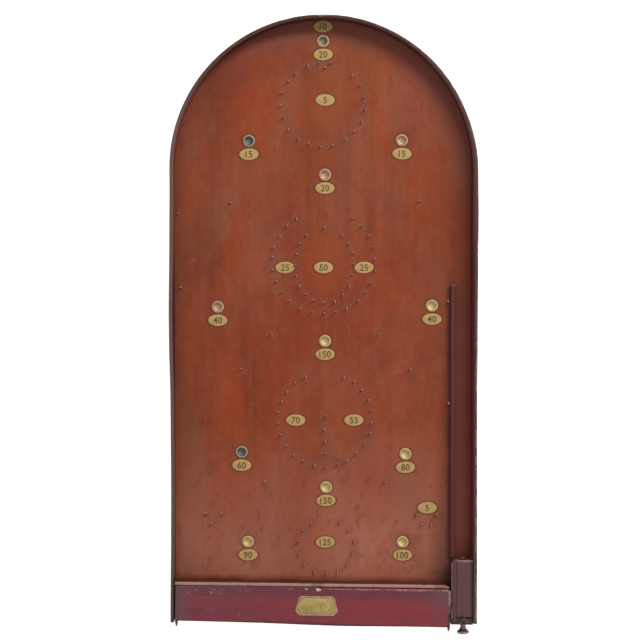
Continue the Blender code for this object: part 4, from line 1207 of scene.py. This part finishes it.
def make_woodwork():
    """Rails, lane pieces, lid and cheeks, weathered from their solids."""
    middle = middle_and_half("inner_rail")[0]
    rail_place = Matrix.Translation((middle.x, middle.y, 0)) @ Matrix.Rotation(RAIL_TURN, 4, "Z")
    weathered("inner_rail", "inner_rail_worn", RAIL_WOOD, "board", "worn_wood", rail_place,
              cell=5, reach=2.0, seed=3, worn_top=0.95, kept=rail_wear)
    weathered("end_rail", "end_rail_worn", END_WOOD, "board", "red_wood", BOX_PLACE,
              rounding=0.8, cell=7, reach=2.4, seed=4, warp=lean_end, kept=end_rail_wear)
    weathered("lane_divider", "lane_divider_worn", DIVIDER_WOOD, "board", "dark_wood",
              rounding=0.6, cell=6, reach=1.1, seed=5, kept=divider_wear)
    weathered("plunger_box_wall", "plunger_wall_worn", DARK_WOOD, "board", "dark_wood",
              rounding=0.5, seed=6, kept=wall_wear)
    weathered("plunger_cover", "plunger_cover_worn", COVER_WOOD, "board", "dark_wood",
              reach=1.5, seed=7, warp=lean_cover, kept=cover_wear)
    weathered("plunger_guide", "plunger_guide_worn", DARK_WOOD, "board", "dark_wood",
              rounding=0.6, reach=1.6, nick=0.4, seed=8)
    weathered("ball_box_lid", "lid_panel_worn", LID_WOOD, "lid", "red_wood", BOX_PLACE,
              rounding=0.3, cell=3, nick=0.4, seed=9, warp=bow_lid, kept=lid_wear)
    weathered("lid_cheek_left", "lid_cheek_left_worn", CHEEK_WOOD, "lid", "worn_wood", BOX_PLACE,
              rounding=0.2, nick=0.4, seed=10, warp=pointed_foot, kept=lambda point: 0.0)
    weathered("lid_cheek_right", "lid_cheek_right_worn", CHEEK_WOOD, "lid", "worn_wood", BOX_PLACE,
              rounding=0.5, reach=1.8, seed=12, worn_top=0.62, warp=pointed_foot, kept=cheek_wear)
    for node in ("prop_clip_left", "prop_clip_right"):
        weathered(node, node + "_worn", CLIP_WOOD, "board", "dark_wood",
                  rounding=0.8, reach=1.6, nick=0.4, seed=13)


def close_lid(point):
    """Bring the lid's far edge up to the rail, with a sloped edge where a strip has split off."""
    front = RAIL_LINE - LID_OPEN_GAP - 3 * MM
    if point.y < front:
        return point
    far = RAIL_LINE + RAIL_SLOPE * point.x
    split = clamp((point.x - LID_SPLIT) / (5 * MM) + 0.5)
    upper = clamp((point.z - LID_TOP + 4 * MM) / (3.5 * MM))
    gap = LID_CLOSE_GAP + (LID_OPEN_GAP - LID_CLOSE_GAP) * split * upper
    share = (point.y - front) / (LID_FAR_EDGE - front)
    return point + Vector((0, (far - gap - LID_FAR_EDGE) * share, 0))


def bow_lid(point):
    """The lid's far edge beside the rail, its near edge bowed a little, and its ends close to the cheeks."""
    near = clamp((4 * MM - point.y) / (8 * MM))
    bow = LID_NEAR_BOW * math.exp(-(((point.x - 32 * MM) / (70 * MM)) ** 2))
    outwards = 0.0
    if abs(point.x) > LID_HALF_WIDTH - 6 * MM:
        outwards = math.copysign(0.25 * MM, point.x) + (CHEEK_SHIFT if point.x > 0 else 0.0)
    return close_lid(point) + Vector((outwards, -bow * near, 0))


def lid_wear(point):
    """Only the split part of the lid's far edge is rubbed pale."""
    if point.y < 36 * MM or point.x < LID_SPLIT + 4 * MM:
        return 0.0
    return 0.75 + 0.4 * point.x / LID_HALF_WIDTH


def rail_wear(point):
    """The rail's top is rubbed pale but for one dull patch, and its sides keep their stain."""
    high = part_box("inner_rail")[1]
    if high.z - point.z > 1.2 * MM:
        return 0.0
    ragged = 3 * MM * noise.noise(point * 400)
    if -3.8 * MM < point.x + ragged < 16 * MM:
        return 0.4
    return clamp((high.x - point.x) / (9 * MM), 0.3)


def lean_end(point):
    """The end rail below the cover, set back a little and up against the leaning rim."""
    if point.x < 172 * MM:
        return point
    back = 0.9 * MM if point.y < 0 else 0.0
    beside = clamp((point.x - 190 * MM) / (8.7 * MM))
    up = max(0.0, (point.z + LID_PIVOT.z - FIELD_TOP) / (34 * MM))
    return point + Vector((beside * (1.0 + 1.1 * up) * MM, back, 0))


def lean_cover(point):
    """The plunger's cover, close to the leaning rim and to the end rail."""
    low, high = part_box("plunger_cover")
    right = clamp((point.x - high.x + 5 * MM) / (4.5 * MM))
    near = clamp((low.y + 5 * MM - point.y) / (4.5 * MM))
    return point + Vector((1.4 * MM * right, -1.2 * MM * near, 0))


def end_rail_wear(point):
    """The end rail is rubbed away from the plunger's housing only."""
    return 0.15 if point.x > 165 * MM else 1.0


def divider_wear(point):
    """The divider is rubbed at its far end."""
    return 1.3 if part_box("lane_divider")[1].y - point.y < 3 * MM else 0.35


def wall_wear(point):
    """The wall is rubbed along its left top edge."""
    low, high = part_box("plunger_box_wall")
    far_end = 1.4 if high.y - point.y < 12 * MM else 1.0
    return far_end if point.x - low.x < 2 * MM and high.z - point.z < 1.2 * MM else 0.0


def cover_wear(point):
    """The cover is rubbed along its far edge."""
    low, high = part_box("plunger_cover")
    near_end = 0.45 if point.y - low.y < 2 * MM else 0.0
    return 1.1 if high.y - point.y < 2.5 * MM and high.z - point.z < 1.2 * MM else near_end


def cheek_wear(point):
    """The right cheek's top is rubbed towards the rail."""
    return clamp((point.y + 2 * MM) / (24 * MM), 0.2)


def pointed_foot(point):
    """Narrow a cheek's foot to a point where it stands out beyond the lid."""
    beyond = clamp((-7 * MM - point.y) / (7 * MM))
    middle = math.copysign(LID_HALF_WIDTH - CHEEK_HALF_THICKNESS, point.x)
    shift = CHEEK_SHIFT if point.x > 0 else 0.0
    return Vector((middle + (point.x - middle) * (1 - CHEEK_NARROWING * beyond) + shift, point.y, point.z))


def node_points(node, place):
    """Points of a node as seen in the axes of a place."""
    turned = place.inverted()
    return [turned @ vert.co for vert in frame["nodes"][node].data.vertices]


def make_name_plate():
    """Bare brass plate, wider towards the player, with clipped corners, a sunk border and two small nails."""
    points = node_points("name_plate", BOX_PLACE)
    low = Vector([min(point[axis] for point in points) for axis in range(3)])
    high = Vector([max(point[axis] for point in points) for axis in range(3)])
    centre = (low + high) / 2
    half = (high - low) / 2
    thick = high.z - low.z
    shape = bmesh.new()
    rings = []
    for inset, level in PLATE_RINGS:
        ring = []
        for across, along in PLATE_CORNERS:
            reach = (across * (half.x - inset * MM), along * (half.y - inset * MM))
            ring.append(shape.verts.new((*reach, level * thick)))
        rings.append(ring)
    faces = skin(shape, rings)
    corners = len(PLATE_CORNERS)
    for face in faces[PLATE_BORDER * corners:(PLATE_BORDER + 1) * corners]:
        face.material_index = 1
    inside = cap(shape, rings)
    inside.material_index = 2
    outline = ((0, 0.5), (1.2, 0.5), (1.2, 1.2), (0.7, 1.7), (0, 1.9))
    for sign in (-1, 1):
        dome = lathe([(radius * MM, level * thick) for radius, level in outline], 12)
        dome.transform(Matrix.Translation((sign * (half.x - 4.9 * MM), -0.35 * half.y, 0)))
        join_into(shape, dome, 0)
    place = BOX_PLACE @ Matrix.Translation((centre.x, centre.y, low.z))
    finishes = [PLATE_EDGE, INK, PLATE_GILT]
    add_piece("name_plate_bare", shape, finishes, "lid", "gilt", "name_plate", place=place, smooth=30)


def make_pivots():
    """Round-headed pivot pins at both ends of the lid."""
    for side, sign in (("left", -1), ("right", 1)):
        points = node_points("lid_pivot_" + side, BOX_PLACE)
        reach = max(sign * point.x for point in points)
        start = min(sign * point.x for point in points)
        radius = max(point.z for point in points)
        profile = [(0, start), (radius, start), (radius, reach - 0.4 * MM), (0.8 * radius, reach)]
        profile += [(0, reach + 0.2 * MM)]
        place = BOX_PLACE @ Matrix.Rotation(math.radians(90 * sign), 4, "Y")
        pin = lathe(profile, 24)
        add_piece("pivot_pin_" + side, pin, [STEEL], "board", "steel", "lid_pivot_" + side, place=place)


# Plunger and prop

def make_plunger():
    """Turned knob, steel rod with its collar, and a coil spring."""
    low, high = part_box("plunger_rod")
    centre, half = middle_and_half("plunger_rod")
    spring_low, spring_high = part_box("plunger_spring")
    radius = ROD_RADIUS
    collar = half.x
    start = spring_high.y + 0.3 * MM
    end = start + COLLAR_LENGTH
    profile = [(0, low.y), (radius, low.y), (radius, start), (collar - COLLAR_ROUND, start)]
    profile += [(collar, start + COLLAR_ROUND), (collar, end - COLLAR_ROUND), (collar - COLLAR_ROUND, end)]
    profile += [(radius, end), (radius, high.y - 1.2 * MM), (radius * 0.85, high.y - 0.5 * MM)]
    profile += [(radius * 0.5, high.y - 0.1 * MM), (0, high.y)]
    place = Matrix.Translation((centre.x, 0, centre.z))
    rod = lathe(profile, 32, "Y")
    add_piece("plunger_rod_turned", rod, [ROD_STEEL], "plunger", "steel", "plunger_rod", place=place)

    low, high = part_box("plunger_knob")
    length = high.y - low.y
    wide = (high.x - low.x) / 2
    profile = [(share * wide, low.y + along * length) for share, along in KNOB_OUTLINE]
    socket = high.y - KNOB_SOCKET_DEPTH
    profile += [(KNOB_SOCKET, high.y), (KNOB_SOCKET, socket), (0, socket)]
    knob = lathe(profile, 40, "Y")
    add_piece("plunger_knob_turned", knob, [KNOB_WOOD], "plunger", "knob_wood", "plunger_knob", place=place)

    coil = (spring_high.x - spring_low.x) / 2 - SPRING_WIRE
    start = spring_low.y + SPRING_WIRE
    travel = spring_high.y - SPRING_WIRE - start
    steps = SPRING_TURNS * TURN_POINTS
    points = []
    for step in range(steps + 1):
        angle = 2 * math.pi * step / TURN_POINTS
        across = Vector((coil * math.cos(angle), 0, coil * math.sin(angle)))
        points.append(Vector((centre.x, start + travel * step / steps, centre.z)) + across)
    data = evaluated_mesh(tube("plunger_spring_coil", points, SPRING_WIRE, STEEL, 2))
    made = add_object("plunger_spring_coil", data, [])
    finish_piece(made, "board", "steel", "plunger_spring")
    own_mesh(made)


def make_prop():
    """Bent-wire prop with smooth bends."""
    low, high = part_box("prop_wire")
    radius = (high.z - low.z) / 2
    level = (high.z + low.z) / 2
    axis_y = JOINTS["prop_hinge"]["pos_m"][1]
    half = [(high.x, axis_y)]
    half += round_corner((PROP_LEG + PROP_BEND, axis_y + PROP_BEND), PROP_BEND, -90, -180, 10)
    half += round_corner((PROP_LEG - PROP_BEND, high.y - radius - PROP_BEND), PROP_BEND, 0, 90, 10)
    path = half + [(-x, y) for x, y in half[::-1]]
    wire = tube("prop_wire_bent", [Vector((x, y, level)) for x, y in path], radius, STEEL, 5)
    finish_piece(wire, "prop", "steel", "prop_wire")


# Stage

def floor_material():
    coat = Coat("floor_white", 0.9)
    coat.tint = coat.ramp(coat.noise(3.0, 2.0, 0.5), (0.3, 0.7), (0.80, 0.82))
    coat.surface["Emission Color"].default_value = (1, 1, 1, 1)
    coat.surface["Emission Strength"].default_value = FLOOR_GLOW
    return coat.finish()


def make_stage():
    """White floor, a soft key from the upper right and pale light all round."""
    shape = bmesh.new()
    bmesh.ops.create_grid(shape, x_segments=1, y_segments=1, size=FLOOR_SIZE)
    floor = add_object("floor", mesh_of(shape, "floor", 40), [floor_material()])
    floor.location = (0, 0, FLOOR_LEVEL)

    world = bpy.data.worlds.new("studio")
    world.use_nodes = True
    sky = world.node_tree.nodes["Background"]
    sky.inputs["Color"].default_value = (0.97, 0.98, 1.0, 1.0)
    sky.inputs["Strength"].default_value = SKY_STRENGTH
    bpy.context.scene.world = world

    towards = Vector(KEY_DIRECTION).normalized()
    key = bpy.data.lights.new("key", "AREA")
    key.shape = "RECTANGLE"
    key.size = KEY_SIZE[0]
    key.size_y = KEY_SIZE[1]
    key.energy = KEY_POWER
    key.color = (1.0, 0.98, 0.95)
    holder = bpy.data.objects.new("key", key)
    holder.location = towards * KEY_DISTANCE
    sideways = Vector((0, 1, 0)).cross(towards).normalized()
    upright = towards.cross(sideways)
    holder.rotation_euler = Matrix((sideways, upright, towards)).transposed().to_euler()
    bpy.context.scene.collection.objects.link(holder)


def make_camera():
    data = bpy.data.cameras.new("camera")
    data.lens = CAMERA_LENS
    data.sensor_width = SENSOR_WIDTH
    camera = bpy.data.objects.new("camera", data)
    camera.location = CAMERA_PLACE
    camera.rotation_euler = (CAMERA_TILT, 0, 0)
    bpy.context.scene.collection.objects.link(camera)
    bpy.context.scene.camera = camera
    bpy.context.scene.view_settings.view_transform = "Standard"


make_camera()
make_stage()
make_playfield()
make_rim()
make_pins()
make_cups()
make_tags()
make_marks()
make_woodwork()
make_name_plate()
make_pivots()
make_plunger()
make_prop()
